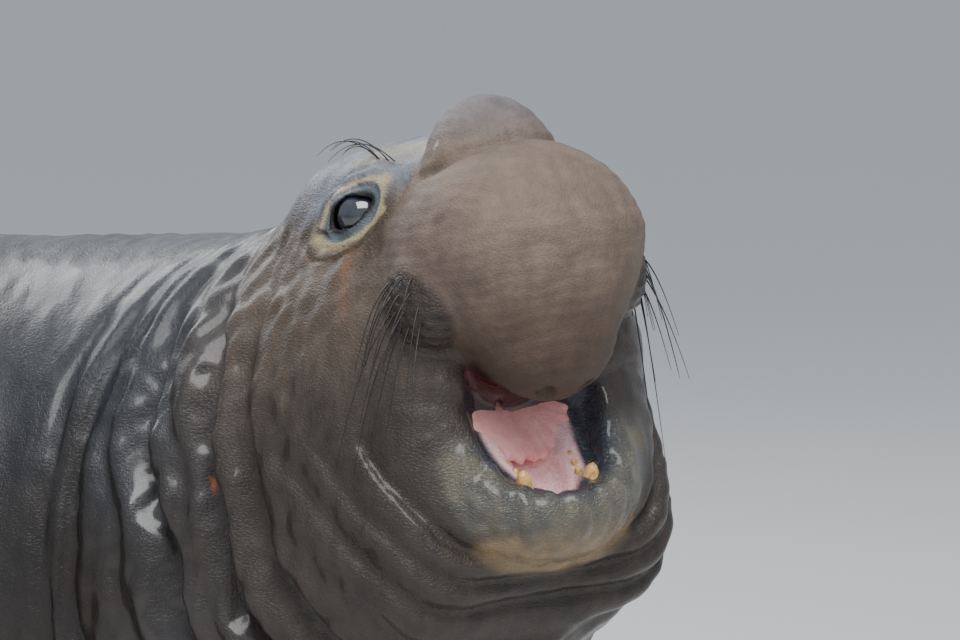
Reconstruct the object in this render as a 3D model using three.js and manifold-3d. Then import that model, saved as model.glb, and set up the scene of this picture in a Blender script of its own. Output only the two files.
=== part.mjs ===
// A young bull elephant seal, life size, lying on its belly with the head turned to its right,
// thrown back and the mouth wide open. Millimetres, +Z up, +X from tail to chest.
// The origin is on the floor, in the middle of the flat that the chest and belly rest on.
import * as THREE from 'three';
import Module from 'manifold-3d';
import { mergeVertices } from 'three/addons/utils/BufferGeometryUtils.js';

const wasm = await Module();
wasm.setup();

// Trunk: [distance along the spine, top, bottom, half width]
const TRUNK = [
  [-2900, 120, 70, 20], [-2840, 165, 45, 55], [-2740, 225, 25, 100], [-2600, 300, 8, 165],
  [-2350, 430, -8, 265], [-2000, 560, -20, 375], [-1600, 665, -30, 460], [-1100, 735, -35, 515],
  [-600, 775, -35, 520], [-150, 790, -35, 490], [150, 788, -28, 450], [400, 795, 5, 405],
  [600, 812, 50, 360], [760, 822, 110, 315], [880, 812, 170, 270], [1000, 770, 250, 205],
  [1080, 700, 330, 130],
];
const TRUNK_ROUNDNESS = 2.2;
const TRUNK_MIDDLE = 0.45;
const BEND_START = 150;
const BEND_RADIUS = 600;
const BEND_ANGLE = THREE.MathUtils.degToRad(48);
// Rings of folded skin round the neck: [distance along the spine, depth, width, lean]
const NECK_FOLDS = [[640, 12, 30, 0.1], [775, 42, 22, 0.25], [872, 46, 21, 0.3], [940, 38, 20, 0.3]];
const LEFT_FOLD_SHARE = 0.45;

// Head: its own frame is (forward, to the side, up) from the point between the eyes
const HEAD_REACH = 330;
const EYE_LEVEL = 850;
const HEAD_PITCH = THREE.MathUtils.degToRad(10);
const HEAD_ROLL = THREE.MathUtils.degToRad(5);
const SKULL = { at: [-26, 0, -48], size: [186, 130, 156], tilt: 8 };
const TEMPLE = { at: [-110, 60, 0], size: [120, 86, 100] };
const JOWL = { at: [-10, 130, -370], size: [120, 85, 120] };
const CHEEK = { at: [-62, 112, -190], size: [175, 116, 185] };
const THROAT = { from: [-290, 0, -232], to: [-60, 0, -305], radii: [246, 190] };
const MUZZLE = { at: [85, 0, -80], size: [135, 120, 75] };
const ORBIT = { at: [-8, 94, 28], size: [72, 44, 58] };
const CHIN = { at: [112, 0, -378], size: [58, 98, 44], tilt: 10 };
const PAD = { at: [122, 122, -90], size: [58, 46, 58] };
const LIP = [[-10, 120, -185], [70, 112, -270], [126, 88, -334], [156, 48, -358], [163, 0, -363]];
const LIP_RADII = [34, 30, 27, 25, 24];
// Folds of the throat round the lower lip: [distance from the lip, depth, width]
const THROAT_FOLDS = [[58, 16, 12], [112, 15, 14], [172, 12, 16], [235, 8, 18]];
const MOUTH = { at: [105, 0, -210], size: [152, 96, 124], tilt: -38 };
const GULLET = { at: [-20, 0, -170], size: [110, 70, 60], tilt: -10 };
const NOSE_BUMP = { at: [106, 0, 28], size: [76, 90, 114] };
const NOSE_BULB = { at: [166, 0, -52], size: [104, 120, 108], tilt: -6 };
const NOSE_ROOT = { at: [92, 0, -40], size: [95, 130, 96] };
const NOSE_TIP = { from: [150, 0, -60], to: [170, 0, -165], radii: [122, 68], flat: 1.09 };
const NOSTRIL = { at: [190, 26, -226], size: [16, 11, 20] };
const TONGUE = { at: [30, 0, -230], size: [90, 64, 17], tilt: -43 };
const EYE = { at: [-10, 112, 25], radius: 31 };
const LID_THICKNESS = 6;
const LID_OPENING = { at: [8, 146, 29], size: [26, 18, 15], tilt: 32 };
const LID_FACES = [0.47, 0.86, 0.16];
const EAR_HOLE = { at: [-150, 132, -30], size: [7, 30, 8] };

// Teeth of the lower jaw
const CANINE = { at: [138, 45, -344], radius: 12, length: 26, lean: [0.3, 0.1, 1] };
const CHEEK_TEETH = {
  count: 5, from: [124, 44, -334], to: [78, 60, -304], radius: 5, length: 22, lean: [0.1, -0.2, 1],
};

// Feelers of the upper lip: angles in radians on the pad
const WHISKERS = {
  rows: 4, columns: 4, rowLift: [-0.35, 0.55], turn: [1.15, 1.9], length: 120, radius: 1.6, sunk: 14,
};

// Shapes that part the proboscis and the whisker pads from the head
const NOSE_CUTTER = [
  { at: [118, 0, 34], size: [94, 112, 132] },
  { at: [196, 0, -70], size: [130, 152, 178], tilt: -4 },
];
const PAD_CUTTER = { at: [124, 128, -90], size: [63, 52, 63] };
const JAW_OUTLINE = [[-34, -198], [60, -440], [60, -640], [420, -640], [420, -198]];

// Flippers: the middle line, half widths and thickness from root to tip, and each digit's reach
const FORE_FLIPPER = {
  path: [[90, 300, 120], [20, 400, 82], [-70, 500, 34], [-190, 575, 12], [-330, 630, 9]],
  halfWidths: [88, 92, 104, 108, 96],
  thickness: [74, 16],
  reach: [1, 0.97, 0.9, 0.82, 0.72],
  across: [-0.5, -0.85, 0.1],
  claws: [[0.88, 3], [0.93, 5], [0.97, 3], [1.0, 0]],
};
const HIND_FLIPPER = {
  path: [[-2560, 70, 120], [-2720, 105, 118], [-2880, 165, 112], [-3040, 230, 104], [-3210, 290, 96]],
  halfWidths: [62, 78, 108, 150, 186],
  thickness: [70, 14],
  reach: [1, 0.86, 0.76, 0.85, 0.98],
  across: [0.25, 0.55, -0.5],
  claws: null,
};
const GAP = 0.3;
// Everything that the flesh is looked for in: to the sides, below and above the floor
const REACH = { side: 760, below: -90, above: 1130 };
// The head's shapes don't reach behind this X
const HEAD_FROM = -250;
// A size well past the whole animal's
const FAR = 8000;

// Lengths that the trunk is parted into: the cuts along the spine, the reach in X and the cell size
const CUT = { tail: -2745, hips: -1750, belly: -700, chest: 400, neck: 830 };
const LENGTHS = {
  tail: { to: CUT.tail, x: [-3000, -2600], cell: 32 },
  hindquarters: { from: CUT.tail, to: CUT.hips, x: [-2900, -1600], cell: 68 },
  torso_rear: { from: CUT.hips, to: CUT.belly, x: [-1920, -540], cell: 86 },
  torso_front: { from: CUT.belly, to: CUT.chest, x: [-860, 700], cell: 82 },
  neck: { from: CUT.chest, to: CUT.neck, x: [100, 1000], cell: 58 },
  head: { from: CUT.neck, x: [371, 1180], cell: 31.65 },
};

const DEG = Math.PI / 180;
const clamp = THREE.MathUtils.clamp;

// Rounded union of two distances over a width
function blend(a, b, width) {
  const h = Math.max(width - Math.abs(a - b), 0) / width;
  return Math.min(a, b) - h * h * width * 0.25;
}

function carve(a, b, width) {
  return -blend(-a, b, width);
}

// Distance to an egg: an ellipsoid with its own tilt in the plane of symmetry
function egg(q, { at, size, tilt = 0 }) {
  const c = Math.cos(tilt * DEG);
  const s = Math.sin(tilt * DEG);
  const dx = q[0] - at[0];
  const dz = q[2] - at[2];
  const x = dx * c + dz * s;
  const y = q[1] - at[1];
  const z = -dx * s + dz * c;
  const near = Math.hypot(x / size[0], y / size[1], z / size[2]);
  const slope = Math.hypot(x / size[0] ** 2, y / size[1] ** 2, z / size[2] ** 2) + 1e-9;
  return near * (near - 1) / slope;
}

// Distance to a rod whose radius changes along it
function rod(q, { from, to, radii, flat = 1 }) {
  const d = [to[0] - from[0], to[1] - from[1], to[2] - from[2]];
  const length2 = d[0] ** 2 + d[1] ** 2 + d[2] ** 2;
  const along = (q[0] - from[0]) * d[0] + (q[1] - from[1]) * d[1] + (q[2] - from[2]) * d[2];
  const t = clamp(along / length2, 0, 1);
  const off = q.map((v, i) => v - from[i] - t * d[i]);
  return Math.hypot(off[0], off[1] / flat, off[2]) - (radii[0] + (radii[1] - radii[0]) * t);
}

// Smooth curve through one column of the trunk's sizes, without overshoot
function profile(column) {
  const x = TRUNK.map((row) => row[0]);
  const y = TRUNK.map((row) => row[column]);
  const rise = x.slice(1).map((v, i) => (y[i + 1] - y[i]) / (v - x[i]));
  const slope = x.map((v, i) => {
    if (i === 0 || i === x.length - 1) return rise[Math.min(i, rise.length - 1)];
    const product = rise[i - 1] * rise[i];
    return product <= 0 ? 0 : 2 * product / (rise[i - 1] + rise[i]);
  });
  return (s) => {
    let i = 0;
    while (i < x.length - 2 && s > x[i + 1]) i += 1;
    const h = x[i + 1] - x[i];
    const t = clamp((s - x[i]) / h, 0, 1);
    return (2 * t ** 3 - 3 * t ** 2 + 1) * y[i] + (t ** 3 - 2 * t ** 2 + t) * h * slope[i]
      + (3 * t ** 2 - 2 * t ** 3) * y[i + 1] + (t ** 3 - t ** 2) * h * slope[i + 1];
  };
}

const topAt = profile(1);
const bottomAt = profile(2);
const halfWidthAt = profile(3);

const BEND_END = [
  BEND_START + BEND_RADIUS * Math.sin(BEND_ANGLE),
  -BEND_RADIUS + BEND_RADIUS * Math.cos(BEND_ANGLE),
];

// Distance along the spine and to its left, with the neck bent to the right
function alongSpine(x, y) {
  if (x <= BEND_START) return [x, y];
  const dx = x - BEND_START;
  const dy = y + BEND_RADIUS;
  const angle = Math.atan2(dx, dy);
  const ex = x - BEND_END[0];
  const ey = y - BEND_END[1];
  const past = ex * Math.cos(BEND_ANGLE) - ey * Math.sin(BEND_ANGLE);
  if (past > 0 && angle > 0) {
    const side = ex * Math.sin(BEND_ANGLE) + ey * Math.cos(BEND_ANGLE);
    return [BEND_START + BEND_RADIUS * BEND_ANGLE + past, side];
  }
  return [BEND_START + BEND_RADIUS * clamp(angle, 0, BEND_ANGLE), Math.hypot(dx, dy) - BEND_RADIUS];
}

function trunk(p) {
  const [s, side] = alongSpine(p[0], p[1]);
  const first = TRUNK[0][0];
  const last = TRUNK[TRUNK.length - 1][0];
  const at = clamp(s, first, last);
  const top = topAt(at);
  const bottom = bottomAt(at);
  const width = halfWidthAt(at);
  const middle = bottom + (top - bottom) * TRUNK_MIDDLE;
  const height = p[2] > middle ? top - middle : middle - bottom;
  const u = Math.abs(side) / width;
  const v = Math.abs(p[2] - middle) / height;
  const n = TRUNK_ROUNDNESS;
  const e = (u ** n + v ** n + 1e-12) ** (1 / n);
  const slope = e ** (1 - n) * Math.hypot(u ** (n - 1) / width, v ** (n - 1) / height) + 1e-9;
  let d = (e - 1) / slope;
  for (const [place, depth, spread, lean] of NECK_FOLDS) {
    const t = (s - place - lean * (middle - p[2])) / spread;
    const share = clamp((top + 5 - p[2]) / 120, 0.1, 1) * (side < 0 ? 1 : LEFT_FOLD_SHARE);
    d += depth * Math.exp(-t * t) * share;
  }
  const past = Math.max(first - s, s - last);
  return past > 0 ? Math.hypot(Math.max(d, 0), past) : d;
}

// The head's frame
const forward = new THREE.Vector3(
  Math.cos(HEAD_PITCH) * Math.cos(BEND_ANGLE),
  -Math.cos(HEAD_PITCH) * Math.sin(BEND_ANGLE),
  Math.sin(HEAD_PITCH),
);
const level = new THREE.Vector3(Math.sin(BEND_ANGLE), Math.cos(BEND_ANGLE), 0);
const upright = new THREE.Vector3().crossVectors(forward, level);
const left = level.clone().multiplyScalar(Math.cos(HEAD_ROLL))
  .addScaledVector(upright, Math.sin(HEAD_ROLL));
const up = upright.clone().multiplyScalar(Math.cos(HEAD_ROLL))
  .addScaledVector(level, -Math.sin(HEAD_ROLL));
const headPlace = new THREE.Matrix4().makeBasis(forward, left, up).setPosition(
  BEND_END[0] + HEAD_REACH * Math.cos(BEND_ANGLE),
  BEND_END[1] - HEAD_REACH * Math.sin(BEND_ANGLE),
  EYE_LEVEL,
);
const headInverse = headPlace.clone().invert();

function lip(q) {
  let d = Infinity;
  for (let i = 0; i + 1 < LIP.length; i += 1) {
    d = Math.min(d, rod(q, { from: LIP[i], to: LIP[i + 1], radii: [LIP_RADII[i], LIP_RADII[i + 1]] }));
  }
  return d;
}

function face(q) {
  let d = egg(q, SKULL);
  d = blend(d, egg(q, CHEEK), 60);
  d = blend(d, egg(q, TEMPLE), 50);
  d = blend(d, egg(q, JOWL), 60);
  d = blend(d, rod(q, THROAT), 80);
  d = blend(d, egg(q, MUZZLE), 50);
  d = blend(d, egg(q, ORBIT), 40);
  const toLip = lip(q);
  for (const [distance, depth, spread] of THROAT_FOLDS) {
    const t = (toLip - distance) / spread;
    d += depth * Math.exp(-t * t) * clamp((-170 - q[2]) / 90, 0, 1) * clamp((q[0] + 230) / 120, 0, 1);
  }
  d = blend(d, toLip, 34);
  return blend(d, egg(q, CHIN), 30);
}

// A dish round the eye, with the lids as a round bulge in it
function eyeSocket(q, d) {
  const from = q.map((v, i) => v - EYE.at[i]);
  const away = Math.hypot(...from);
  const out = from.reduce((sum, v, i) => sum + v * LID_FACES[i], 0);
  const lid = away - EYE.radius - LID_THICKNESS;
  const cone = Math.sqrt(Math.max(away * away - out * out, 0)) * 0.85 - out;
  return blend(carve(d, carve(cone, lid, 8), 14), lid, 8);
}

function mouth(q) {
  return blend(egg(q, MOUTH), egg(q, GULLET), 40);
}

function nose(q) {
  let d = blend(egg(q, NOSE_BUMP), egg(q, NOSE_BULB), 14);
  d = blend(d, egg(q, NOSE_ROOT), 40);
  return blend(d, rod(q, NOSE_TIP), 80);
}

// The head with its mouth, in the head's frame, the same on both sides
function head(q) {
  const h = [q[0], Math.abs(q[1]), q[2]];
  let d = carve(face(h), mouth(h), 16);
  d = blend(d, egg(h, PAD), 20);
  return eyeSocket(h, blend(d, nose(h), 18));
}

const point = new THREE.Vector3();
function toHead(p) {
  point.set(p[0], p[1], p[2]).applyMatrix4(headInverse);
  return [point.x, point.y, point.z];
}

// The whole flesh without the flippers and the tongue
function flesh(p) {
  return p[0] > HEAD_FROM ? blend(trunk(p), head(toHead(p)), 90) : trunk(p);
}

// Closed surface of a distance function inside a box: one vertex in each cell that it crosses
function surface(distance, low, high, cell) {
  const count = low.map((v, i) => Math.ceil((high[i] - v) / cell) + 1);
  const index = (i, j, k) => (i * count[1] + j) * count[2] + k;
  const value = new Float64Array(count[0] * count[1] * count[2]).fill(cell);
  for (let i = 1; i < count[0] - 1; i += 1) {
    for (let j = 1; j < count[1] - 1; j += 1) {
      for (let k = 1; k < count[2] - 1; k += 1) {
        value[index(i, j, k)] = distance([low[0] + i * cell, low[1] + j * cell, low[2] + k * cell]);
      }
    }
  }
  const corners = [];
  for (let c = 0; c < 8; c += 1) corners.push([c & 1, (c >> 1) & 1, (c >> 2) & 1]);
  const positions = [];
  const vertexOf = new Map();
  for (let i = 0; i + 1 < count[0]; i += 1) {
    for (let j = 0; j + 1 < count[1]; j += 1) {
      for (let k = 0; k + 1 < count[2]; k += 1) {
        const v = corners.map(([a, b, c]) => value[index(i + a, j + b, k + c)]);
        const inside = v.filter((d) => d < 0).length;
        if (inside === 0 || inside === 8) continue;
        const sum = [0, 0, 0];
        let crossings = 0;
        for (let c = 0; c < 8; c += 1) {
          for (let axis = 0; axis < 3; axis += 1) {
            const other = c | (1 << axis);
            if (other === c || (v[c] < 0) === (v[other] < 0)) continue;
            const t = v[c] / (v[c] - v[other]);
            corners[c].forEach((start, n) => { sum[n] += start + (n === axis ? t : 0); });
            crossings += 1;
          }
        }
        vertexOf.set(index(i, j, k), positions.length / 3);
        [i, j, k].forEach((n, axis) => positions.push(low[axis] + (n + sum[axis] / crossings) * cell));
      }
    }
  }
  const faces = [];
  const step = [index(1, 0, 0), index(0, 1, 0), 1];
  for (let i = 0; i + 1 < count[0]; i += 1) {
    for (let j = 0; j + 1 < count[1]; j += 1) {
      for (let k = 0; k + 1 < count[2]; k += 1) {
        const here = index(i, j, k);
        for (let axis = 0; axis < 3; axis += 1) {
          const solid = value[here] < 0;
          if (solid === (value[here + step[axis]] < 0)) continue;
          const a = step[(axis + 1) % 3];
          const b = step[(axis + 2) % 3];
          const quad = [here - a - b, here - b, here, here - a].map((n) => vertexOf.get(n));
          if (!solid) quad.reverse();
          faces.push(quad[0], quad[1], quad[2], quad[0], quad[2], quad[3]);
        }
      }
    }
  }
  const geometry = new THREE.BufferGeometry();
  geometry.setAttribute('position', new THREE.Float32BufferAttribute(positions, 3));
  geometry.setIndex(faces);
  return geometry;
}

// The same surface moved out along its normals
function grown(geometry, distance) {
  const result = geometry.clone();
  result.computeVertexNormals();
  const { position, normal } = result.attributes;
  for (let i = 0; i < position.count; i += 1) {
    position.setXYZ(
      i,
      position.getX(i) + normal.getX(i) * distance,
      position.getY(i) + normal.getY(i) * distance,
      position.getZ(i) + normal.getZ(i) * distance,
    );
  }
  return result;
}

function toSolid(geometry) {
  const bare = geometry.clone();
  bare.deleteAttribute('normal');
  bare.deleteAttribute('uv');
  const merged = mergeVertices(bare, 1e-3);
  return new wasm.Manifold(new wasm.Mesh({
    numProp: 3,
    vertProperties: new Float32Array(merged.attributes.position.array),
    triVerts: new Uint32Array(merged.index.array),
  }));
}

function toGeometry(solid) {
  const mesh = solid.getMesh();
  const geometry = new THREE.BufferGeometry();
  geometry.setAttribute('position', new THREE.Float32BufferAttribute(mesh.vertProperties, 3));
  geometry.setIndex(Array.from(mesh.triVerts));
  return geometry;
}

// The largest closed piece of a solid
function largest(solid) {
  const pieces = solid.decompose();
  return pieces.reduce((best, next) => (next.volume() > best.volume() ? next : best));
}

// An egg as a mesh in the head's frame, on one side, with room around it
function eggMesh({ at, size, tilt = 0 }, side = 1, room = 0, detail = 20) {
  const geometry = new THREE.SphereGeometry(1, detail, detail >> 1);
  geometry.scale(size[0] + room, size[1] + room, size[2] + room);
  geometry.rotateY(-tilt * DEG);
  geometry.translate(at[0], at[1] * side, at[2]);
  return toSolid(geometry.applyMatrix4(headPlace));
}

// A tapered horn along a curve: a whisker, a tooth or a claw
function horn(curve, radius, { steps = 3, sides = 5, tip = 0.15, belly = 1 } = {}) {
  const positions = [];
  const faces = [];
  const frames = curve.computeFrenetFrames(steps);
  for (let i = 0; i <= steps; i += 1) {
    const t = i / steps;
    const centre = curve.getPointAt(t);
    const r = radius * (tip + (1 - tip) * (1 - t ** belly));
    for (let j = 0; j < sides; j += 1) {
      const a = j / sides * Math.PI * 2;
      const v = centre.clone()
        .addScaledVector(frames.normals[i], r * Math.cos(a))
        .addScaledVector(frames.binormals[i], r * Math.sin(a));
      positions.push(v.x, v.y, v.z);
    }
  }
  for (let i = 0; i < steps; i += 1) {
    for (let j = 0; j < sides; j += 1) {
      const a = i * sides + j;
      const b = i * sides + (j + 1) % sides;
      faces.push(a, b, b + sides, a, b + sides, a + sides);
    }
  }
  for (let j = 1; j + 1 < sides; j += 1) {
    const end = steps * sides;
    faces.push(0, j + 1, j, end, end + j, end + j + 1);
  }
  const geometry = new THREE.BufferGeometry();
  geometry.setAttribute('position', new THREE.Float32BufferAttribute(positions, 3));
  geometry.setIndex(faces);
  return geometry;
}

function curveThrough(points) {
  return new THREE.CatmullRomCurve3(points.map((p) => new THREE.Vector3(...p)), false, 'chordal');
}

// A box with one face on a plane across the spine, reaching forward
function aheadOf(s, extra) {
  const geometry = new THREE.BoxGeometry(FAR, FAR, FAR);
  geometry.translate(FAR / 2 + extra, 0, 0);
  const angle = clamp((s - BEND_START) / BEND_RADIUS, 0, BEND_ANGLE);
  const past = Math.max(s - BEND_START - BEND_RADIUS * BEND_ANGLE, 0);
  geometry.rotateZ(-angle);
  geometry.translate(
    Math.min(s, BEND_START) + BEND_RADIUS * Math.sin(angle) + past * Math.cos(angle),
    -BEND_RADIUS + BEND_RADIUS * Math.cos(angle) - past * Math.sin(angle),
    0,
  );
  return toSolid(geometry);
}

const floor = toSolid(new THREE.BoxGeometry(FAR, FAR, FAR).translate(0, 0, -FAR / 2));

// One length of the trunk between two planes across the spine, cut flat where it rests
function length({ from, to, x, cell }) {
  const low = [x[0], -REACH.side, REACH.below];
  const high = [x[1], REACH.side, REACH.above];
  let piece = toSolid(surface(flesh, low, high, cell));
  if (from !== undefined) piece = piece.intersect(aheadOf(from, GAP / 2));
  if (to !== undefined) piece = piece.subtract(aheadOf(to, -GAP / 2));
  return largest(piece.subtract(floor));
}

const skin = new THREE.MeshStandardMaterial({ color: 0x5b5653, roughness: 0.5, metalness: 0 });
const noseSkin = new THREE.MeshStandardMaterial({ color: 0x7b6c60, roughness: 0.7, metalness: 0 });
const lipSkin = new THREE.MeshStandardMaterial({ color: 0x6b6253, roughness: 0.45, metalness: 0 });
const padSkin = new THREE.MeshStandardMaterial({ color: 0x2e2722, roughness: 0.5, metalness: 0 });
const tongueSkin = new THREE.MeshStandardMaterial({ color: 0xc97f80, roughness: 0.35, metalness: 0 });
const eyeball = new THREE.MeshStandardMaterial({ color: 0x15171b, roughness: 0.08, metalness: 0 });

const seal = new THREE.Group();
function add(name, solid, material) {
  const mesh = new THREE.Mesh(toGeometry(solid), material);
  mesh.name = name;
  seal.add(mesh);
}

// Trunk, in lengths
const hindquarters = length(LENGTHS.hindquarters);
const torsoFront = length(LENGTHS.torso_front);
const tail = length(LENGTHS.tail);
add('hindquarters', hindquarters, skin);
add('torso_rear', length(LENGTHS.torso_rear), skin);
add('torso_front', torsoFront, skin);
add('neck', length(LENGTHS.neck), skin);

// Head, parted into the proboscis, whisker pads, lower jaw, tongue and eyes
let rest = length(LENGTHS.head);

function part(cutter, roomier) {
  const piece = largest(rest.intersect(cutter));
  rest = rest.subtract(roomier);
  return piece;
}

function noseCutter(room) {
  return NOSE_CUTTER.map((shape) => eggMesh(shape, 1, room, 20)).reduce((a, b) => a.add(b));
}

function nostril(side) {
  return eggMesh(NOSTRIL, side, 0, 10);
}

const proboscis = part(noseCutter(0), noseCutter(GAP));
add('proboscis', largest(proboscis.subtract(nostril(1)).subtract(nostril(-1))), noseSkin);

// Whisker pads: a cushion in the upper lip, with rows of feelers that sweep out, back and down
const random = (() => {
  let state = 7;
  return () => {
    state = (state * 16807) % 2147483647;
    return state / 2147483647;
  };
})();

function whisker(side, row, column) {
  const lift = WHISKERS.rowLift[0] + (WHISKERS.rowLift[1] - WHISKERS.rowLift[0]) * row / (WHISKERS.rows - 1);
  const turn = WHISKERS.turn[0] + (WHISKERS.turn[1] - WHISKERS.turn[0]) * column / (WHISKERS.columns - 1);
  const out = [Math.cos(lift) * Math.cos(turn), Math.cos(lift) * Math.sin(turn), Math.sin(lift)];
  const root = out.map((v, i) => PAD.at[i] + v * (PAD.size[i] - WHISKERS.sunk));
  const size = WHISKERS.length * (0.65 + 0.35 * (1 - column / WHISKERS.columns)) * (0.85 + 0.3 * random());
  const bend = (t) => [
    root[0] + size * t * (out[0] * 0.45 - 0.28 * t),
    (root[1] + size * t * (out[1] * 0.8 + 0.45)) * side,
    root[2] + size * t * (out[2] * 0.5 - 0.15 - 0.42 * t),
  ];
  const curve = curveThrough([0, 1 / 3, 2 / 3, 1].map(bend));
  return toSolid(horn(curve, WHISKERS.radius, { sides: 3, tip: 0.3 }).applyMatrix4(headPlace));
}

for (const [name, side] of [['left', 1], ['right', -1]]) {
  let pad = part(eggMesh(PAD_CUTTER, side, 0, 14), eggMesh(PAD_CUTTER, side, GAP, 14));
  for (let row = 0; row < WHISKERS.rows; row += 1) {
    for (let column = 0; column < WHISKERS.columns; column += 1) {
      pad = pad.add(whisker(side, row, column));
    }
  }
  add(`whisker_pad_${name}`, largest(pad), padSkin);
}

// Tongue
const tongue = eggMesh(TONGUE, 1, 0, 18);
rest = rest.subtract(eggMesh(TONGUE, 1, GAP, 18));

// Lower jaw: all in front of and below a plane from the corners of the mouth down to the throat
function jawCutter(room) {
  const outline = new THREE.Shape(JAW_OUTLINE.map(([a, c]) => new THREE.Vector2(a - room, c + room)));
  const across = 600;
  const geometry = new THREE.ExtrudeGeometry(outline, { depth: across, bevelEnabled: false });
  geometry.translate(0, 0, -across / 2).rotateX(Math.PI / 2);
  return toSolid(geometry.applyMatrix4(headPlace));
}

function tooth(side, { at, radius, length: height, lean }, sides = 8) {
  const tipShift = lean.map((v) => v * height);
  const points = [-0.45, 0, 0.5, 1].map((t) => [
    at[0] + tipShift[0] * t * Math.abs(t),
    (at[1] + tipShift[1] * t) * side,
    at[2] + tipShift[2] * t,
  ]);
  return toSolid(horn(curveThrough(points), radius, { steps: 3, sides, tip: 0.2, belly: 1.8 })
    .applyMatrix4(headPlace));
}

let jaw = part(jawCutter(0), jawCutter(GAP));
for (const side of [1, -1]) {
  jaw = jaw.add(tooth(side, CANINE));
  for (let i = 0; i < CHEEK_TEETH.count; i += 1) {
    const t = i / (CHEEK_TEETH.count - 1);
    const at = CHEEK_TEETH.from.map((v, axis) => v + (CHEEK_TEETH.to[axis] - v) * t);
    const size = { at, radius: CHEEK_TEETH.radius, length: CHEEK_TEETH.length, lean: CHEEK_TEETH.lean };
    jaw = jaw.add(tooth(side, size, 4));
  }
}
jaw = largest(jaw);
add('lower_jaw', jaw, lipSkin);
add('tongue', tongue, tongueSkin);

// Eyes in their sockets, with the lids left round them
for (const [name, side] of [['left', 1], ['right', -1]]) {
  const ball = { at: EYE.at, size: [EYE.radius, EYE.radius, EYE.radius] };
  add(`eye_${name}`, eggMesh(ball, side, 0, 14), eyeball);
  rest = rest.subtract(eggMesh(ball, side, GAP, 14));
  rest = rest.subtract(eggMesh(LID_OPENING, side, 0, 12));
  rest = rest.subtract(eggMesh(EAR_HOLE, side, 0, 8));
}
add('head', largest(rest), skin);

// A flipper: five digits in one web, its two faces split into triangles alike
function flipper({ path, halfWidths, thickness, reach, across, claws }, side) {
  const steps = 9;
  const rows = 8;
  const curve = curveThrough(path.map(([x, y, z]) => [x, y * side, z]));
  const width = curveThrough(halfWidths.map((w, i) => [i, w, 0]));
  const sideways = new THREE.Vector3(across[0], across[1] * side, across[2]).normalize();
  const spot = (u, v, face) => {
    const digit = (v + 1) * 2;
    const first = Math.min(Math.floor(digit), reach.length - 2);
    const far = reach[first] + (reach[first + 1] - reach[first]) * (digit - first);
    const notch = 1 - 0.16 * Math.abs(Math.sin(digit * Math.PI)) ** 1.5;
    const t = u * far * (1 - u + u * notch);
    const centre = curve.getPoint(t);
    const ahead = curve.getTangent(t);
    const normal = new THREE.Vector3().crossVectors(ahead, sideways).multiplyScalar(side).normalize();
    const lateral = new THREE.Vector3().crossVectors(normal, ahead).multiplyScalar(side);
    const ridge = 1 + 0.35 * Math.cos(digit * Math.PI * 2) * Math.min(u * 2, 1);
    const thin = thickness[0] + (thickness[1] - thickness[0]) * u ** 0.7;
    const half = thin / 2 * ridge * (1 - 0.55 * v ** 4);
    return centre.addScaledVector(lateral, width.getPoint(u).y * v).addScaledVector(normal, half * face);
  };
  const positions = [];
  for (const face of [1, -1]) {
    for (let i = 0; i <= steps; i += 1) {
      for (let j = 0; j <= rows; j += 1) {
        positions.push(...spot(i / steps, j / rows * 2 - 1, face).toArray());
      }
    }
  }
  const at = (layer, i, j) => (layer * (steps + 1) + i) * (rows + 1) + j;
  const faces = [];
  const quad = (a, b, c, d) => (side > 0 ? faces.push(a, b, c, a, c, d) : faces.push(a, c, b, a, d, c));
  for (let i = 0; i < steps; i += 1) {
    for (let j = 0; j < rows; j += 1) {
      quad(at(0, i, j), at(0, i + 1, j), at(0, i + 1, j + 1), at(0, i, j + 1));
      quad(at(1, i, j), at(1, i, j + 1), at(1, i + 1, j + 1), at(1, i + 1, j));
    }
    quad(at(0, i, 0), at(1, i, 0), at(1, i + 1, 0), at(0, i + 1, 0));
    quad(at(0, i, rows), at(0, i + 1, rows), at(1, i + 1, rows), at(1, i, rows));
  }
  for (let j = 0; j < rows; j += 1) {
    quad(at(0, 0, j), at(0, 0, j + 1), at(1, 0, j + 1), at(1, 0, j));
    quad(at(0, steps, j), at(1, steps, j), at(1, steps, j + 1), at(0, steps, j + 1));
  }
  const geometry = new THREE.BufferGeometry();
  geometry.setAttribute('position', new THREE.Float32BufferAttribute(positions, 3));
  geometry.setIndex(faces);
  let blade = toSolid(geometry);
  for (let digit = 0; digit < 5 && claws; digit += 1) {
    const v = digit / 2 - 1;
    const points = claws.map(([u, lift]) => {
      const p = spot(u, v * 0.97, 0.5);
      p.z += lift;
      return p.toArray();
    });
    blade = blade.add(toSolid(horn(curveThrough(points), 6, { sides: 5, tip: 0.15 })));
  }
  return blade.subtract(floor);
}

// The solid with room of one gap all round it
function roomy(solid) {
  const shifts = [[1, 0, 0], [-1, 0, 0], [0, 1, 0], [0, -1, 0], [0, 0, 1], [0, 0, -1]];
  return shifts.map((shift) => solid.translate(shift.map((v) => v * GAP)))
    .reduce((all, next) => all.add(next), solid);
}

let stump = tail;
for (const [name, side] of [['left', 1], ['right', -1]]) {
  const fore = largest(flipper(FORE_FLIPPER, side).subtract(toSolid(grown(toGeometry(torsoFront), GAP))));
  const hind = largest(flipper(HIND_FLIPPER, side).subtract(toSolid(grown(toGeometry(hindquarters), GAP))));
  stump = stump.subtract(roomy(hind));
  add(`fore_flipper_${name}`, fore, skin);
  add(`hind_flipper_${name}`, hind, skin);
}
add('tail', largest(stump), skin);

export default seal;
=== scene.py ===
"""A life-size young bull elephant seal at rest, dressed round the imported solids.

The whole hide is one closed skin, found as the level set of a distance function. Its sizes are in
millimetres, in the part's own frame, and the finished meshes are in metres.
"""
import bpy
import numpy as np
import openvdb
from mathutils import Matrix, Vector


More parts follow.
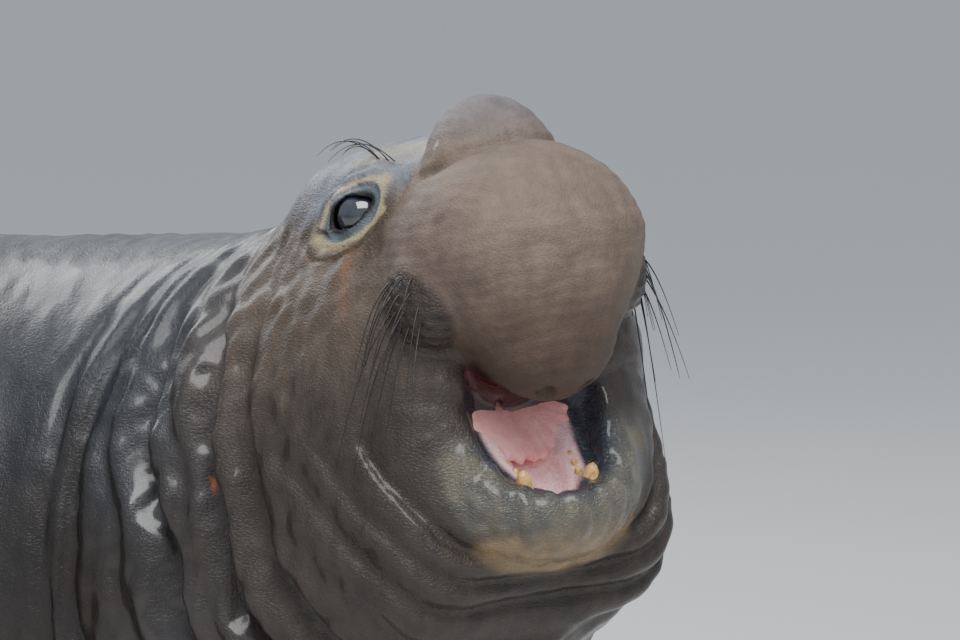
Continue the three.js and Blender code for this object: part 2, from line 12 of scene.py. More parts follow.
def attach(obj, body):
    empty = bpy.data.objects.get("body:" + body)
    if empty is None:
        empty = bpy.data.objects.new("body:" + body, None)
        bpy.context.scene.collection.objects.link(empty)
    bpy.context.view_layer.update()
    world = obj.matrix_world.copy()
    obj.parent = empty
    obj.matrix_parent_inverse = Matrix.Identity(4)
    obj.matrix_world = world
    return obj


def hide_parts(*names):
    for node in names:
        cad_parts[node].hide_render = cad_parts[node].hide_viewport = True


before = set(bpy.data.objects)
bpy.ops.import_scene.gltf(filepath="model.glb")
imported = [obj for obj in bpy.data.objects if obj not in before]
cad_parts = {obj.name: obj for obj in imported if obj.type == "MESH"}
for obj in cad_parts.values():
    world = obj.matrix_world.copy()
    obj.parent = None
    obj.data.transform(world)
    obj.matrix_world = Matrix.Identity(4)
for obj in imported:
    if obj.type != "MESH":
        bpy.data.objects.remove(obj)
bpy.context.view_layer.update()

MM = 0.001

# Trunk: distance along the spine, top, bottom, half width
TRUNK = np.array([
    (-2900, 120, 70, 20), (-2840, 165, 45, 55), (-2740, 225, 25, 100), (-2600, 300, 8, 165),
    (-2350, 430, -8, 265), (-2000, 560, -20, 375), (-1600, 665, -30, 460), (-1100, 735, -35, 515),
    (-600, 775, -35, 520), (-150, 790, -35, 490), (150, 788, -28, 450), (400, 795, 5, 405),
    (600, 812, 50, 360), (760, 822, 110, 315), (880, 812, 170, 270), (1000, 770, 250, 205),
    (1080, 700, 330, 130),
], float)
TRUNK_ROUNDNESS = 2.2
TRUNK_MIDDLE = 0.45
BEND_START = 150.0
BEND_RADIUS = 600.0
BEND_ANGLE = np.radians(48)
# Rings of folded skin round the neck: distance along the spine, depth, width, lean
NECK_FOLDS = ((560, 9, 22, 0.1), (640, 16, 22, 0.14), (712, 12, 16, 0.2), (775, 46, 20, 0.25),
              (824, 15, 13, 0.28), (872, 50, 19, 0.3), (940, 40, 18, 0.3))
LEFT_FOLD_SHARE = 0.45

# Head: its own frame is forward, to the side, up, from the point between the eyes
HEAD_REACH = 330.0
EYE_LEVEL = 850.0
HEAD_PITCH = np.radians(10)
HEAD_ROLL = np.radians(5)
SKULL = dict(at=(-26, 0, -48), size=(186, 130, 156), tilt=8)
TEMPLE = dict(at=(-110, 60, 0), size=(120, 86, 100))
JOWL = dict(at=(-10, 130, -370), size=(120, 85, 120))
CHEEK = dict(at=(-62, 112, -190), size=(175, 116, 185))
THROAT = dict(start=(-290, 0, -232), end=(-60, 0, -305), radii=(246, 190))
MUZZLE = dict(at=(85, 0, -80), size=(135, 120, 75))
ORBIT = dict(at=(-8, 94, 28), size=(72, 44, 58))
CHIN = dict(at=(112, 0, -378), size=(58, 98, 44), tilt=10)
PAD = dict(at=(122, 122, -90), size=(58, 46, 58))
LIP = ((-10, 120, -185), (70, 112, -270), (126, 88, -334), (156, 48, -358), (163, 0, -363))
LIP_RADII = (34, 30, 27, 25, 24)
# Folds of the throat round the lower lip: distance from the lip, depth, width
THROAT_FOLDS = ((46, 14, 9), (84, 10, 10), (122, 15, 12), (178, 13, 14), (240, 9, 16))
MOUTH = dict(at=(105, 0, -210), size=(152, 96, 124), tilt=-38)
GULLET = dict(at=(-20, 0, -170), size=(110, 70, 60), tilt=-10)
NOSE_BUMP = dict(at=(106, 0, 28), size=(76, 90, 114))
NOSE_BULB = dict(at=(166, 0, -52), size=(104, 120, 108), tilt=-6)
NOSE_ROOT = dict(at=(92, 0, -40), size=(95, 130, 96))
NOSE_TIP = dict(start=(150, 0, -60), end=(170, 0, -165), radii=(122, 68), flat=1.09)
NOSTRIL = dict(at=(190, 26, -226), size=(16, 11, 20))
TONGUE = dict(at=(42, 0, -226), reach=86, half_width=76, half_thickness=13, tilt=-52)
EYE_CENTRE = np.array((-17.0, 115.0, 25.0))
EYE_RADIUS = 32.0
LID_THICKNESS = 6.0
LID_OPENING = (32.0, 17.0)
LID_FACES = (0.47, 0.86, 0.16)
LID_TURN = np.radians(22)
# Creases round the lids: how many lid openings away, and how deep
LID_CREASES = ((1.55, 2.6), (2.05, 3.4), (2.7, 2.6))
LID_CREASE_WIDTH = 0.13
LID_BEHIND = 20.0
EAR_HOLE = dict(at=(-150, 132, -30), size=(7, 30, 8))

# The ridge of the lower jaw, the first and last of the cheek teeth that stand on it, and the canine
GUM_RIDGE = dict(start=(136, 40, -345), end=(66, 58, -282), radii=(15, 13))
CHEEK_TEETH = ((128, 38, -322), (80, 53, -282))
CANINE = (138, 45, -344)
CANINE_RADIUS = 12
LEFT_CANINE_HEIGHT = 32
RIGHT_CANINE_HEIGHT = 36
CHEEK_TEETH_A_SIDE = 5
CHEEK_TOOTH_RADIUS = 4.5
CHEEK_TOOTH_HEIGHT = 9
TOOTH_SIDES = 16

FEELER_ROOT = 8
FEELER_SIDES = 6
PAD_FEELER_RADIUS = 1.05
BROW_FEELER_RADIUS = 0.9

EYE_GAP = 0.4
EYE_RINGS = 48
EYE_SIDES = 64
CORNEA_BULGE = 0.035

# Claws: share of the digit's length and height over the flipper, for each point of the line
CLAW_LINE = ((0.78, 3), (0.85, 7), (0.91, 6), (0.96, 1))
CLAW_RADIUS = 6.5
CLAW_LOWEST = 6
CLAW_STEPS = 14
CLAW_SIDES = 10

# Flippers: the middle line, half widths and thickness from root to tip, and each digit's reach
FORE_FLIPPER = dict(
    path=((90, 300, 120), (20, 400, 82), (-70, 500, 34), (-190, 575, 12), (-330, 630, 9)),
    half_widths=(88, 92, 104, 108, 96), thickness=(74, 16), reach=(1, 0.97, 0.9, 0.82, 0.72),
    across=(-0.5, -0.85, 0.1))
HIND_FLIPPER = dict(
    path=((-2560, 70, 120), (-2720, 105, 118), (-2880, 165, 112), (-3040, 230, 104), (-3210, 290, 96)),
    half_widths=(62, 78, 108, 150, 186), thickness=(70, 14), reach=(1, 0.86, 0.76, 0.85, 0.98),
    across=(0.25, 0.55, -0.5))

# The skin's cells are finest at the head and grow with the distance from it
FINE_CELL = 3.4
GROWTH_RADIUS = 900.0
HIDE_BOX = ((-3400, -820, -60), (1230, 820, 1170))
HIDE_MARGIN = 30
TONGUE_BOX = ((-60, -90, -330), (150, 90, -110))
TONGUE_CELL = 2.0
# Cells are worked out in cubes of this many a side, and this many cubes at a time
BLOCK = 8
BATCH = 1200


def blend(a, b, width):
    """Rounded union of two distances over a width."""
    h = np.maximum(width - np.abs(a - b), 0) / width
    return np.minimum(a, b) - h * h * width * 0.25


def carve(a, b, width):
    """The first form without the second, with a rounded edge."""
    return -blend(-a, b, width)


def egg(q, at, size, tilt=0.0):
    """Distance to an ellipsoid with its own tilt in the plane of symmetry."""
    x = q[0] - at[0]
    y = q[1] - at[1]
    z = q[2] - at[2]
    c = np.cos(np.radians(tilt))
    s = np.sin(np.radians(tilt))
    x, z = x * c + z * s, -x * s + z * c
    near = np.sqrt((x / size[0]) ** 2 + (y / size[1]) ** 2 + (z / size[2]) ** 2)
    slope = np.sqrt((x / size[0] ** 2) ** 2 + (y / size[1] ** 2) ** 2 + (z / size[2] ** 2) ** 2) + 1e-9
    return near * (near - 1) / slope


def rod(q, start, end, radii, flat=1.0):
    """Distance to a rod whose radius changes along it."""
    d = np.subtract(end, start).astype(float)
    along = sum((q[i] - start[i]) * d[i] for i in range(3))
    t = np.clip(along / (d @ d), 0, 1)
    x = q[0] - start[0] - t * d[0]
    y = (q[1] - start[1] - t * d[1]) / flat
    z = q[2] - start[2] - t * d[2]
    return np.sqrt(x * x + y * y + z * z) - (radii[0] + (radii[1] - radii[0]) * t)


def smooth_step(low, high, value):
    """0 up to the low value, 1 from the high one; the other way round when low is the higher."""
    t = np.clip((value - low) / (high - low), 0, 1)
    return t * t * (3 - 2 * t)


def profile(column):
    """Smooth curve through one column of the trunk's sizes, sampled along the spine."""
    x = TRUNK[:, 0]
    y = TRUNK[:, column]
    rise = np.diff(y) / np.diff(x)
    slope = np.empty(len(x))
    slope[0] = rise[0]
    slope[-1] = rise[-1]
    product = rise[:-1] * rise[1:]
    mean = np.where(product > 0, 2 * product / np.where(product > 0, rise[:-1] + rise[1:], 1), 0)
    slope[1:-1] = mean
    i = np.clip(np.searchsorted(x, SPINE) - 1, 0, len(x) - 2)
    h = x[i + 1] - x[i]
    t = (SPINE - x[i]) / h
    return ((2 * t ** 3 - 3 * t ** 2 + 1) * y[i] + (t ** 3 - 2 * t ** 2 + t) * h * slope[i]
            + (3 * t ** 2 - 2 * t ** 3) * y[i + 1] + (t ** 3 - t ** 2) * h * slope[i + 1])


SPINE = np.linspace(TRUNK[0, 0], TRUNK[-1, 0], 800)
TOP = profile(1)
BOTTOM = profile(2)
HALF_WIDTH = profile(3)
BEND_END = (BEND_START + BEND_RADIUS * np.sin(BEND_ANGLE),
            -BEND_RADIUS + BEND_RADIUS * np.cos(BEND_ANGLE))


def along_spine(x, y):
    """Distance along the spine and to its left, with the neck bent to the right."""
    dx = x - BEND_START
    dy = y + BEND_RADIUS
    angle = np.arctan2(dx, dy)
    bent = x > BEND_START
    s = np.where(bent, BEND_START + BEND_RADIUS * np.clip(angle, 0, BEND_ANGLE), x)
    side = np.where(bent, np.hypot(dx, dy) - BEND_RADIUS, y)
    ex = x - BEND_END[0]
    ey = y - BEND_END[1]
    ahead = ex * np.cos(BEND_ANGLE) - ey * np.sin(BEND_ANGLE)
    past = bent & (ahead > 0) & (angle > 0)
    s = np.where(past, BEND_START + BEND_RADIUS * BEND_ANGLE + ahead, s)
    side = np.where(past, ex * np.sin(BEND_ANGLE) + ey * np.cos(BEND_ANGLE), side)
    return s, side


def trunk(p):
    s, side = along_spine(p[0], p[1])
    at = np.clip(s, SPINE[0], SPINE[-1])
    top = np.interp(at, SPINE, TOP)
    bottom = np.interp(at, SPINE, BOTTOM)
    width = np.interp(at, SPINE, HALF_WIDTH)
    middle = bottom + (top - bottom) * TRUNK_MIDDLE
    dz = p[2] - middle
    height = np.where(dz > 0, top - middle, middle - bottom)
    n = TRUNK_ROUNDNESS
    u = np.abs(side) / width
    v = np.abs(dz) / height
    e = (u ** n + v ** n + 1e-12) ** (1 / n)
    slope = e ** (1 - n) * np.sqrt((u ** (n - 1) / width) ** 2 + (v ** (n - 1) / height) ** 2) + 1e-9
    d = (e - 1) / slope
    share = LEFT_FOLD_SHARE + (1 - LEFT_FOLD_SHARE) * smooth_step(160, -60, side)
    share = share * np.clip((top + 5 - p[2]) / 120, 0.12, 1)
    for place, depth, spread, lean in NECK_FOLDS:
        wander = 9 * np.sin(p[2] / 71.0 + place) + 5 * np.sin(p[2] / 29.0 + 2 * place)
        t = (s - place - lean * (middle - p[2]) - wander) / spread
        d = d + depth * np.exp(-t * t) * share
    past = np.maximum(SPINE[0] - s, s - SPINE[-1])
    return np.where(past > 0, np.sqrt(np.maximum(d, 0) ** 2 + past ** 2), d)


def head_axes():
    """The head's axes as rows: forward, left, up."""
    forward = np.array((np.cos(HEAD_PITCH) * np.cos(BEND_ANGLE),
                        -np.cos(HEAD_PITCH) * np.sin(BEND_ANGLE), np.sin(HEAD_PITCH)))
    level = np.array((np.sin(BEND_ANGLE), np.cos(BEND_ANGLE), 0))
    upright = np.cross(forward, level)
    left = level * np.cos(HEAD_ROLL) + upright * np.sin(HEAD_ROLL)
    up = upright * np.cos(HEAD_ROLL) - level * np.sin(HEAD_ROLL)
    return np.array((forward, left, up))


HEAD_AXES = head_axes()
HEAD_AT = np.array((BEND_END[0] + HEAD_REACH * np.cos(BEND_ANGLE),
                    BEND_END[1] - HEAD_REACH * np.sin(BEND_ANGLE), EYE_LEVEL))


def in_frame(p, centre, axes):
    """Points as seen from a centre, along each axis of a frame."""
    x, y, z = (p[i] - centre[i] for i in range(3))
    return tuple(x * axis[0] + y * axis[1] + z * axis[2] for axis in axes)


def to_head(p):
    return in_frame(p, HEAD_AT, HEAD_AXES)


def from_head(points):
    return HEAD_AT + np.asarray(points, float) @ HEAD_AXES


def lip(q):
    pieces = zip(LIP, LIP[1:], LIP_RADII, LIP_RADII[1:])
    return np.minimum.reduce([rod(q, a, b, (ra, rb)) for a, b, ra, rb in pieces])


def lid_axes():
    """The lid opening's axes as rows: along it, across it, outwards."""
    out = np.array(LID_FACES) / np.linalg.norm(LID_FACES)
    flat = np.cross(np.array((0.0, 0.0, 1.0)), out)
    flat = -flat / np.linalg.norm(flat)
    upward = np.cross(out, -flat)
    along = flat * np.cos(LID_TURN) + upward * np.sin(LID_TURN)
    return np.array((along, np.cross(out, along), out))


LID_AXES = lid_axes()


def lid_reach(q):
    """0 in the middle of the lid opening, 1 at its rim, and more away from it."""
    along, across, out = in_frame(q, EYE_CENTRE, LID_AXES)
    behind = np.minimum(out, 0) ** 2 / LID_BEHIND ** 2
    return np.sqrt((along / LID_OPENING[0]) ** 2 + (across / LID_OPENING[1]) ** 2 + behind)


def eye_socket(q, d):
    """Lids round the eyeball in a hollow of the hide, with their opening and the creases round them."""
    along, across, out = in_frame(q, EYE_CENTRE, LID_AXES)
    away = np.sqrt(along ** 2 + across ** 2 + out ** 2)
    lid = away - EYE_RADIUS - LID_THICKNESS
    hollow = np.sqrt((along / 1.4) ** 2 + across ** 2) - out
    d = carve(d, carve(hollow, lid, 8), 14)
    d = blend(d, lid, 8)
    reach = lid_reach(q)
    front = np.clip(out / 12, 0, 1)
    for ring, depth in LID_CREASES:
        d = d + depth * np.exp(-((reach - ring) / LID_CREASE_WIDTH) ** 2) * front
    d = np.maximum(d, EYE_RADIUS + 0.5 - away)
    almond = (np.abs(across) - LID_OPENING[1] * (1 - (along / LID_OPENING[0]) ** 2)) * 0.8
    opening = np.maximum(almond, 4 - out)
    return carve(d, opening, 5)


def face(q):
    d = egg(q, **SKULL)
    d = blend(d, egg(q, **CHEEK), 60)
    d = blend(d, egg(q, **TEMPLE), 50)
    d = blend(d, egg(q, **JOWL), 60)
    d = blend(d, rod(q, **THROAT), 80)
    d = blend(d, egg(q, **MUZZLE), 50)
    d = blend(d, egg(q, **ORBIT), 40)
    to_lip = lip(q)
    low = np.clip((-170 - q[2]) / 90, 0, 1) * np.clip((q[0] + 230) / 120, 0, 1)
    for distance, depth, spread in THROAT_FOLDS:
        t = (to_lip - distance - 5 * np.sin(q[1] / 37.0 + distance)) / spread
        d = d + depth * np.exp(-t * t) * low
    d = blend(d, to_lip, 30)
    return blend(d, egg(q, **CHIN), 30)


def mouth(q):
    return blend(egg(q, **MOUTH), egg(q, **GULLET), 40)


def nose(q):
    bump = egg(q, **NOSE_BUMP)
    low = blend(egg(q, **NOSE_BULB), egg(q, **NOSE_ROOT), 40)
    low = blend(low, rod(q, **NOSE_TIP), 80)
    groove = 7 * np.exp(-((bump - low) / 7) ** 2) * smooth_step(60, 110, q[0])
    return blend(bump, low, 24) + groove


def head(q):
    """The head with its mouth, in the head's frame, the same on both sides."""
    q = (q[0], np.abs(q[1]), q[2])
    d = carve(face(q), mouth(q), 14)
    d = blend(d, rod(q, **GUM_RIDGE), 14)
    d = blend(d, egg(q, **PAD), 18)
    d = blend(d, nose(q), 14)
    d = carve(d, egg(q, **NOSTRIL), 8)
    d = carve(d, egg(q, **EAR_HOLE), 6)
    return eye_socket(q, d)


def flipper_frame(p, path, half_widths, across, side):
    """Share of the length, distance to the side and off the blade of a flipper, for each point."""
    points = np.array(path, float) * (1, side, 1)
    best = None
    for i in range(len(points) - 1):
        d = points[i + 1] - points[i]
        rel = [p[k] - points[i, k] for k in range(3)]
        t = sum(rel[k] * d[k] for k in range(3)) / (d @ d)
        t = t if i == len(points) - 2 else np.minimum(t, 1)
        t = t if i == 0 else np.maximum(t, 0)
        off = np.sqrt(sum((rel[k] - t * d[k]) ** 2 for k in range(3)))
        normal = np.cross(d, np.array(across) * (1, side, 1))
        normal /= np.linalg.norm(normal)
        lateral = np.cross(normal, d / np.linalg.norm(d))
        w = sum((rel[k] - t * d[k]) * normal[k] for k in range(3))
        v = sum((rel[k] - t * d[k]) * lateral[k] for k in range(3))
        here = (off, (i + t) / (len(points) - 1), v, w)
        best = here if best is None else [np.where(off < best[0], a, b) for a, b in zip(here, best)]
    u = best[1]
    width = np.interp(u, np.linspace(0, 1, len(half_widths)), half_widths)
    return u, best[2], best[3], width


def flipper(p, side, path, half_widths, thickness, reach, across):
    u, v, w, width = flipper_frame(p, path, half_widths, across, side)
    digit = (np.clip(v / width, -1, 1) + 1) * 2
    far = np.interp(digit, np.arange(5), reach) * (1 - 0.16 * np.abs(np.sin(digit * np.pi)) ** 1.5)
    size = np.linalg.norm(np.subtract(path[-1], path[0]))
    edge = blend(-(np.abs(v) - width), -(u - far) * size, 30)
    ridge = 1 + 0.35 * np.cos(digit * 2 * np.pi) * np.clip(u * 2, 0, 1)
    thin = thickness[0] + (thickness[1] - thickness[0]) * np.clip(u, 0, 1) ** 0.7
    half = thin / 2 * ridge * (1 - 0.55 * np.clip(np.abs(v / width), 0, 1) ** 4)
    return blend(-(np.abs(w) - half), edge, 10) * -1


def body(p):
    """The whole hide, resting on the floor."""
    d = trunk(p)
    near = p[0] > -250
    if near.any():
        there = np.full_like(d, 1000.0)
        there[near] = head(to_head(tuple(v[near] for v in p)))
        d = blend(d, there, 90)
    for sizes, low, high, width in ((FORE_FLIPPER, -500, 320, 40), (HIND_FLIPPER, -3400, -2400, 34)):
        near = (p[0] > low) & (p[0] < high) & (p[2] < 420)
        if near.any():
            q = tuple(v[near] for v in p)
            both = np.minimum(flipper(q, 1, **sizes), flipper(q, -1, **sizes))
            d[near] = blend(d[near], both, width)
    return carve(d, p[2], 24)


def grown(q):
    """From the even space of the mesh to the real one, and its stretch there, across and outwards."""
    x = np.sqrt(q[0] ** 2 + q[1] ** 2 + q[2] ** 2) + 1e-6
    r = GROWTH_RADIUS * (np.exp(x / GROWTH_RADIUS) - 1)
    return tuple(q[i] * r / x + HEAD_AT[i] for i in range(3)), r / x, 1 + r / GROWTH_RADIUS


def shrunk(p):
    """From the real space back to the even one."""
    rel = np.asarray(p, float) - HEAD_AT
    r = np.linalg.norm(rel, axis=-1, keepdims=True) + 1e-6
    return rel * GROWTH_RADIUS * np.log(1 + r / GROWTH_RADIUS) / r


def level_set(distance, low, high, cell, warp=None):
    """Vertices and quads of the surface of a distance function inside a box."""
    low = np.array(low, float)
    blocks = np.ceil((np.array(high, float) - low) / (cell * BLOCK)).astype(int)
    index = np.stack(np.meshgrid(*[np.arange(n) for n in blocks], indexing="ij"), -1).reshape(-1, 3)

    def sample(points):
        q = tuple(points.T)
        if warp is None:
            return distance(q), 1.0, 1.0
        p, across, along = warp(q)
        return distance(p), across, along

    d, _, along = sample(low + (index + 0.5) * cell * BLOCK)
    index = index[np.abs(d) / along < cell * BLOCK * 1.3 + cell * 3]
    band = 3 * cell
    grid = openvdb.FloatGrid(background=band)
    steps = np.arange(BLOCK)
    inner = np.stack(np.meshgrid(steps, steps, steps, indexing="ij"), -1).reshape(-1, 3)
    for start in range(0, len(index), BATCH):
        chunk = index[start:start + BATCH]
        points = low + (chunk[:, None, :] * BLOCK + inner[None]).reshape(-1, 3) * cell
        d, across, _ = sample(points)
        values = np.clip(d / across, -band, band).astype(np.float32).reshape(-1, BLOCK, BLOCK, BLOCK)
        for corner, value in zip(chunk * BLOCK, values):
            grid.copyFromArray(value, ijk=tuple(int(v) for v in corner))
    points, quads = grid.convertToQuads(isovalue=0.0)
    points = low + points.astype(float) * cell
    if warp is not None:
        points = np.stack(warp(tuple(points.T))[0], -1)
    return largest_surface(points, quads.astype(np.int64))


def largest_surface(points, quads):
    """Keeps the largest connected surface, with its faces pointing out."""
    label = np.arange(len(points))
    while True:
        low = label[quads].min(axis=1)
        new = label.copy()
        np.minimum.at(new, quads.ravel(), np.repeat(low, 4))
        new = new[new]
        if (new == label).all():
            break
        label = new
    names, counts = np.unique(label[quads[:, 0]], return_counts=True)
    quads = quads[label[quads[:, 0]] == names[np.argmax(counts)]]
    used, inverse = np.unique(quads, return_inverse=True)
    points = points[used]
    quads = inverse.reshape(-1, 4)
    a, b, c, d = (points[quads[:, i]] for i in range(4))
    volume = np.einsum("ij,ij->i", a, np.cross(b, c) + np.cross(c, d)).sum()
    if volume < 0:
        quads = quads[:, ::-1]
    return points, quads


def vertex_normals(points, quads):
    a, b, c, d = (points[quads[:, i]] for i in range(4))
    n = np.cross(c - a, d - b)
    total = np.zeros_like(points)
    for i in range(4):
        for axis in range(3):
            total[:, axis] += np.bincount(quads[:, i], n[:, axis], len(points))
    return total / (np.linalg.norm(total, axis=1, keepdims=True) + 1e-12)


def placed(name, data):
    """A new object in the scene."""
    obj = bpy.data.objects.new(name, data)
    bpy.context.scene.collection.objects.link(obj)
    return obj


def mesh_object(name, points, faces, material, slot):
    """A mesh in metres that rides on the body."""
    faces = np.asarray(faces)
    mesh = bpy.data.meshes.new(name)
    mesh.vertices.add(len(points))
    mesh.vertices.foreach_set("co", (np.asarray(points) * MM).ravel().astype(np.float32))
    mesh.loops.add(faces.size)
    mesh.loops.foreach_set("vertex_index", faces.ravel().astype(np.int32))
    mesh.polygons.add(len(faces))
    mesh.polygons.foreach_set("loop_start", (np.arange(len(faces)) * faces.shape[1]).astype(np.int32))
    mesh.polygons.foreach_set("use_smooth", np.full(len(faces), True))
    mesh.update(calc_edges=True)
    mesh.validate()
    mesh.materials.append(material)
    obj = placed(name, mesh)
    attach(obj, "root")
    return obj


def add_colour(mesh, name, values):
    layer = mesh.attributes.new(name, "FLOAT_COLOR", "POINT")
    rgba = np.ones((len(values), 4), np.float32)
    rgba[:, :values.shape[1]] = values
    layer.data.foreach_set("color", rgba.ravel())


def add_value(mesh, name, values):
    layer = mesh.attributes.new(name, "FLOAT", "POINT")
    layer.data.foreach_set("value", np.asarray(values, np.float32))


HASH_PRIMES = np.array((73856093, 19349663, 83492791), np.uint64)


def value_noise(points, size, seed):
    """Smooth noise from -1 to 1 with lumps of a size in millimetres."""
    g = points / size + seed * 17.31
    cell = np.floor(g).astype(np.int64)
    f = g - cell
    f = f * f * (3 - 2 * f)
    total = np.zeros(len(points))
    for corner in range(8):
        bits = np.array([(corner >> k) & 1 for k in range(3)])
        c = (cell + bits).astype(np.uint64)
        h = np.bitwise_xor.reduce(c * HASH_PRIMES, axis=1)
        h = (h ^ (h >> np.uint64(13))) * np.uint64(1274126177)
        h = (h ^ (h >> np.uint64(16))) & np.uint64(0xFFFF)
        weight = np.prod(np.where(bits, f, 1 - f), axis=1)
        total += weight * (h.astype(float) / 32767.5 - 1)
    return total


def fractal(points, size, octaves, seed):
    """Noise of a size with finer and weaker noise on it."""
    return sum(value_noise(points, size / 2 ** k, seed + k) / 2 ** k for k in range(octaves))


def linear(red, green, blue):
    """Colour as the renderer wants it, from the usual 0 to 255 values."""
    c = np.array((red, green, blue)) / 255
    return np.where(c <= 0.04045, c / 12.92, ((c + 0.055) / 1.055) ** 2.4)


# Colours of the hide
# The slate-blue of the back is a painted sky reflection, laid where the hide faces up
BACK_SKY_REFLECTION = linear(37, 40, 45)
FLANK = linear(36, 29, 24)
BELLY = linear(70, 60, 48)
FACE = linear(70, 58, 47)
BROW = linear(98, 102, 112)
EYE_RING = linear(184, 168, 130)
LID = linear(92, 100, 108)
LID_RIM = linear(24, 20, 20)
NOSE_SKIN = linear(106, 91, 79)
NOSE_DARK = linear(74, 59, 49)
NOSE_SIDE = linear(94, 78, 73)
PAD_SKIN = linear(54, 44, 37)
LIP_SKIN = linear(50, 54, 62)
LIP_OLIVE = linear(98, 93, 78)
CHIN_SKIN = linear(136, 114, 82)
GUM = linear(255, 206, 206)
# The palate's and gullet's dark reds are partly the flesh's own red and partly painted shade of the mouth's
# hollow
PALATE_RED_AND_SHADE = linear(104, 34, 34)
GULLET_RED_AND_SHADE = linear(60, 14, 14)
SCAR_PINK = linear(206, 150, 136)
SCAR_WHITE = linear(214, 204, 190)
SCAR_RUST = linear(168, 92, 44)

# Scars on the head: forward, to the left, up, half length, half width, turn in degrees, colour
HEAD_SCARS = (
    (-60, -172, -150, 26, 4, 60, SCAR_PINK), (20, -168, -196, 16, 5, 20, SCAR_WHITE),
    (-150, -150, -60, 9, 6, 0, SCAR_PINK), (-100, -150, -66, 8, 5, 0, SCAR_WHITE),
    (-110, -190, -250, 12, 5, 40, SCAR_RUST), (120, -110, 110, 40, 1.6, 75, SCAR_WHITE),
    (170, -20, -190, 12, 4, 10, SCAR_WHITE),
)
NECK_SCARS = 70


# How dull each part of the hide is, from 0 for a mirror to 1
BODY_DULL = 0.36
HEAD_DULL = 0.5
DULLNESS = dict(nose=0.62, lip=0.3, mouth=0.22)

# Where the head's part of the colours and of the relief begins and is whole, forward of the eyes
HEAD_COLOURS = (-300, -120)
HEAD_RELIEF = (-420, -200)
# How far outside the form of each part its share begins and is whole
EDGES = dict(mouth=(7, -2), nose=(12, 2), pad=(12, 3), lip=(26, 6), chin=(22, 4))
MOUTH_SINKS = (4, -8)
MOUTH_ENDS = (128, 104)
PAD_ROW = 15.0


def mix(a, b, share):
    share = np.asarray(share)[:, None]
    return a * (1 - share) + b * share


def zones(q):
    """Shares from 0 to 1 of each part of the head, and under eye the reach from the lid opening."""
    out = {}
    to_mouth = smooth_step(*EDGES["mouth"], mouth(q)) * smooth_step(*MOUTH_SINKS, face(q))
    out["mouth"] = to_mouth * smooth_step(*MOUTH_ENDS, q[0] + 0.25 * q[2] + 60)
    out["nose"] = smooth_step(*EDGES["nose"], nose(q)) * (1 - out["mouth"])
    out["pad"] = smooth_step(*EDGES["pad"], egg(q, **PAD)) * (1 - out["nose"]) * (1 - out["mouth"])
    out["lip"] = smooth_step(*EDGES["lip"], lip(q)) * (1 - out["nose"]) * (1 - out["pad"])
    out["chin"] = smooth_step(*EDGES["chin"], egg(q, **CHIN)) * (1 - out["lip"] * 0.5)
    out["eye"] = lid_reach(q)
    return out


def follicle_rows(q):
    """Bumps in rows on the whisker pads."""
    row = (q[2] + 0.35 * q[0]) / PAD_ROW
    column = (q[0] - 0.45 * q[2] + q[1] * 0.4) / PAD_ROW + 0.5 * np.floor(row)
    u = row - np.floor(row) - 0.5
    v = column - np.floor(column) - 0.5
    return np.exp(-(u * u + v * v) / 0.07)


def lumps(points, height, size, seed):
    return height * value_noise(points, size, seed)


def waves(phase, points, height, wander, size, seed):
    """Parallel wrinkles of a height, bent to and fro by noise of a size."""
    return height * np.sin(phase + wander * value_noise(points, size, seed))


def relief(points, q, zone):
    """How far the hide stands out at each point, for wrinkles finer than its folds."""
    head_share = smooth_step(*HEAD_RELIEF, q[0])
    s, _ = along_spine(points[:, 0], points[:, 1])
    stretched = points * (1, 0.35, 0.35)
    wide = fractal(stretched, size=46, octaves=3, seed=3) * 2.4
    out = (1 - head_share) * (wide + lumps(stretched, height=1.2, size=16, seed=9))
    neck_share = smooth_step(350, 700, s) * smooth_step(1120, 930, s)
    rings = waves(s / 5.2, points, height=1.3, wander=2.2, size=60, seed=5)
    out += neck_share * (rings + lumps(points, height=2.0, size=24, seed=21)) * (1 - zone["lip"])
    lines = waves(q[2] / 2.5, points, height=0.35, wander=2.5, size=34, seed=31)
    out += zone["nose"] * (lines + lumps(points, height=0.7, size=17, seed=33))
    out += zone["pad"] * (3.0 * follicle_rows(q) + lumps(points, height=0.8, size=8, seed=35))
    around = np.arctan2(q[1], q[0] - 40) * 30
    lines = waves(around, points, height=1.7, wander=2.0, size=26, seed=41)
    out += zone["lip"] * (lines + lumps(points, height=1.6, size=13, seed=43)) * (1 - zone["mouth"])
    out += zone["chin"] * lumps(points, height=1.2, size=12, seed=45)
    cheek = head_share
    for part in ("nose", "pad", "lip", "mouth"):
        cheek = cheek * (1 - zone[part])
    near_eye = smooth_step(3.8, 1.6, zone["eye"])
    slanting = (q[2] * 0.8 - q[0] * 0.6) / 5.5
    creases = waves(slanting, points, height=0.7, wander=2.4, size=48, seed=51)
    out += cheek * (creases * (1 - near_eye) + lumps(points, height=1.1, size=19, seed=53))
    rings = waves(zone["eye"] * 16, points, height=0.7, wander=1.2, size=18, seed=55)
    out += cheek * near_eye * rings * smooth_step(1.15, 1.5, zone["eye"])
    palate = waves(q[0] / 4.2, points, height=0.9, wander=0.6, size=20, seed=57)
    palate = palate * smooth_step(-200, -150, q[2])
    out += zone["mouth"] * (palate + lumps(points, height=0.8, size=11, seed=59))
    return out


def scar_share(points, centre, length, width, turn):
    """1 on a short scar that follows the skin, 0 away from it."""
    rel = points - centre
    lie = np.cos(np.radians(turn)) * HEAD_AXES[0] + np.sin(np.radians(turn)) * HEAD_AXES[2]
    along = rel @ lie
    off = np.linalg.norm(rel - along[:, None] * lie, axis=1)
    wobble = 0.7 + lumps(points, height=0.5, size=6, seed=61)
    return np.exp(-((along / length) ** 4 + (off / (width * wobble + 1)) ** 2))


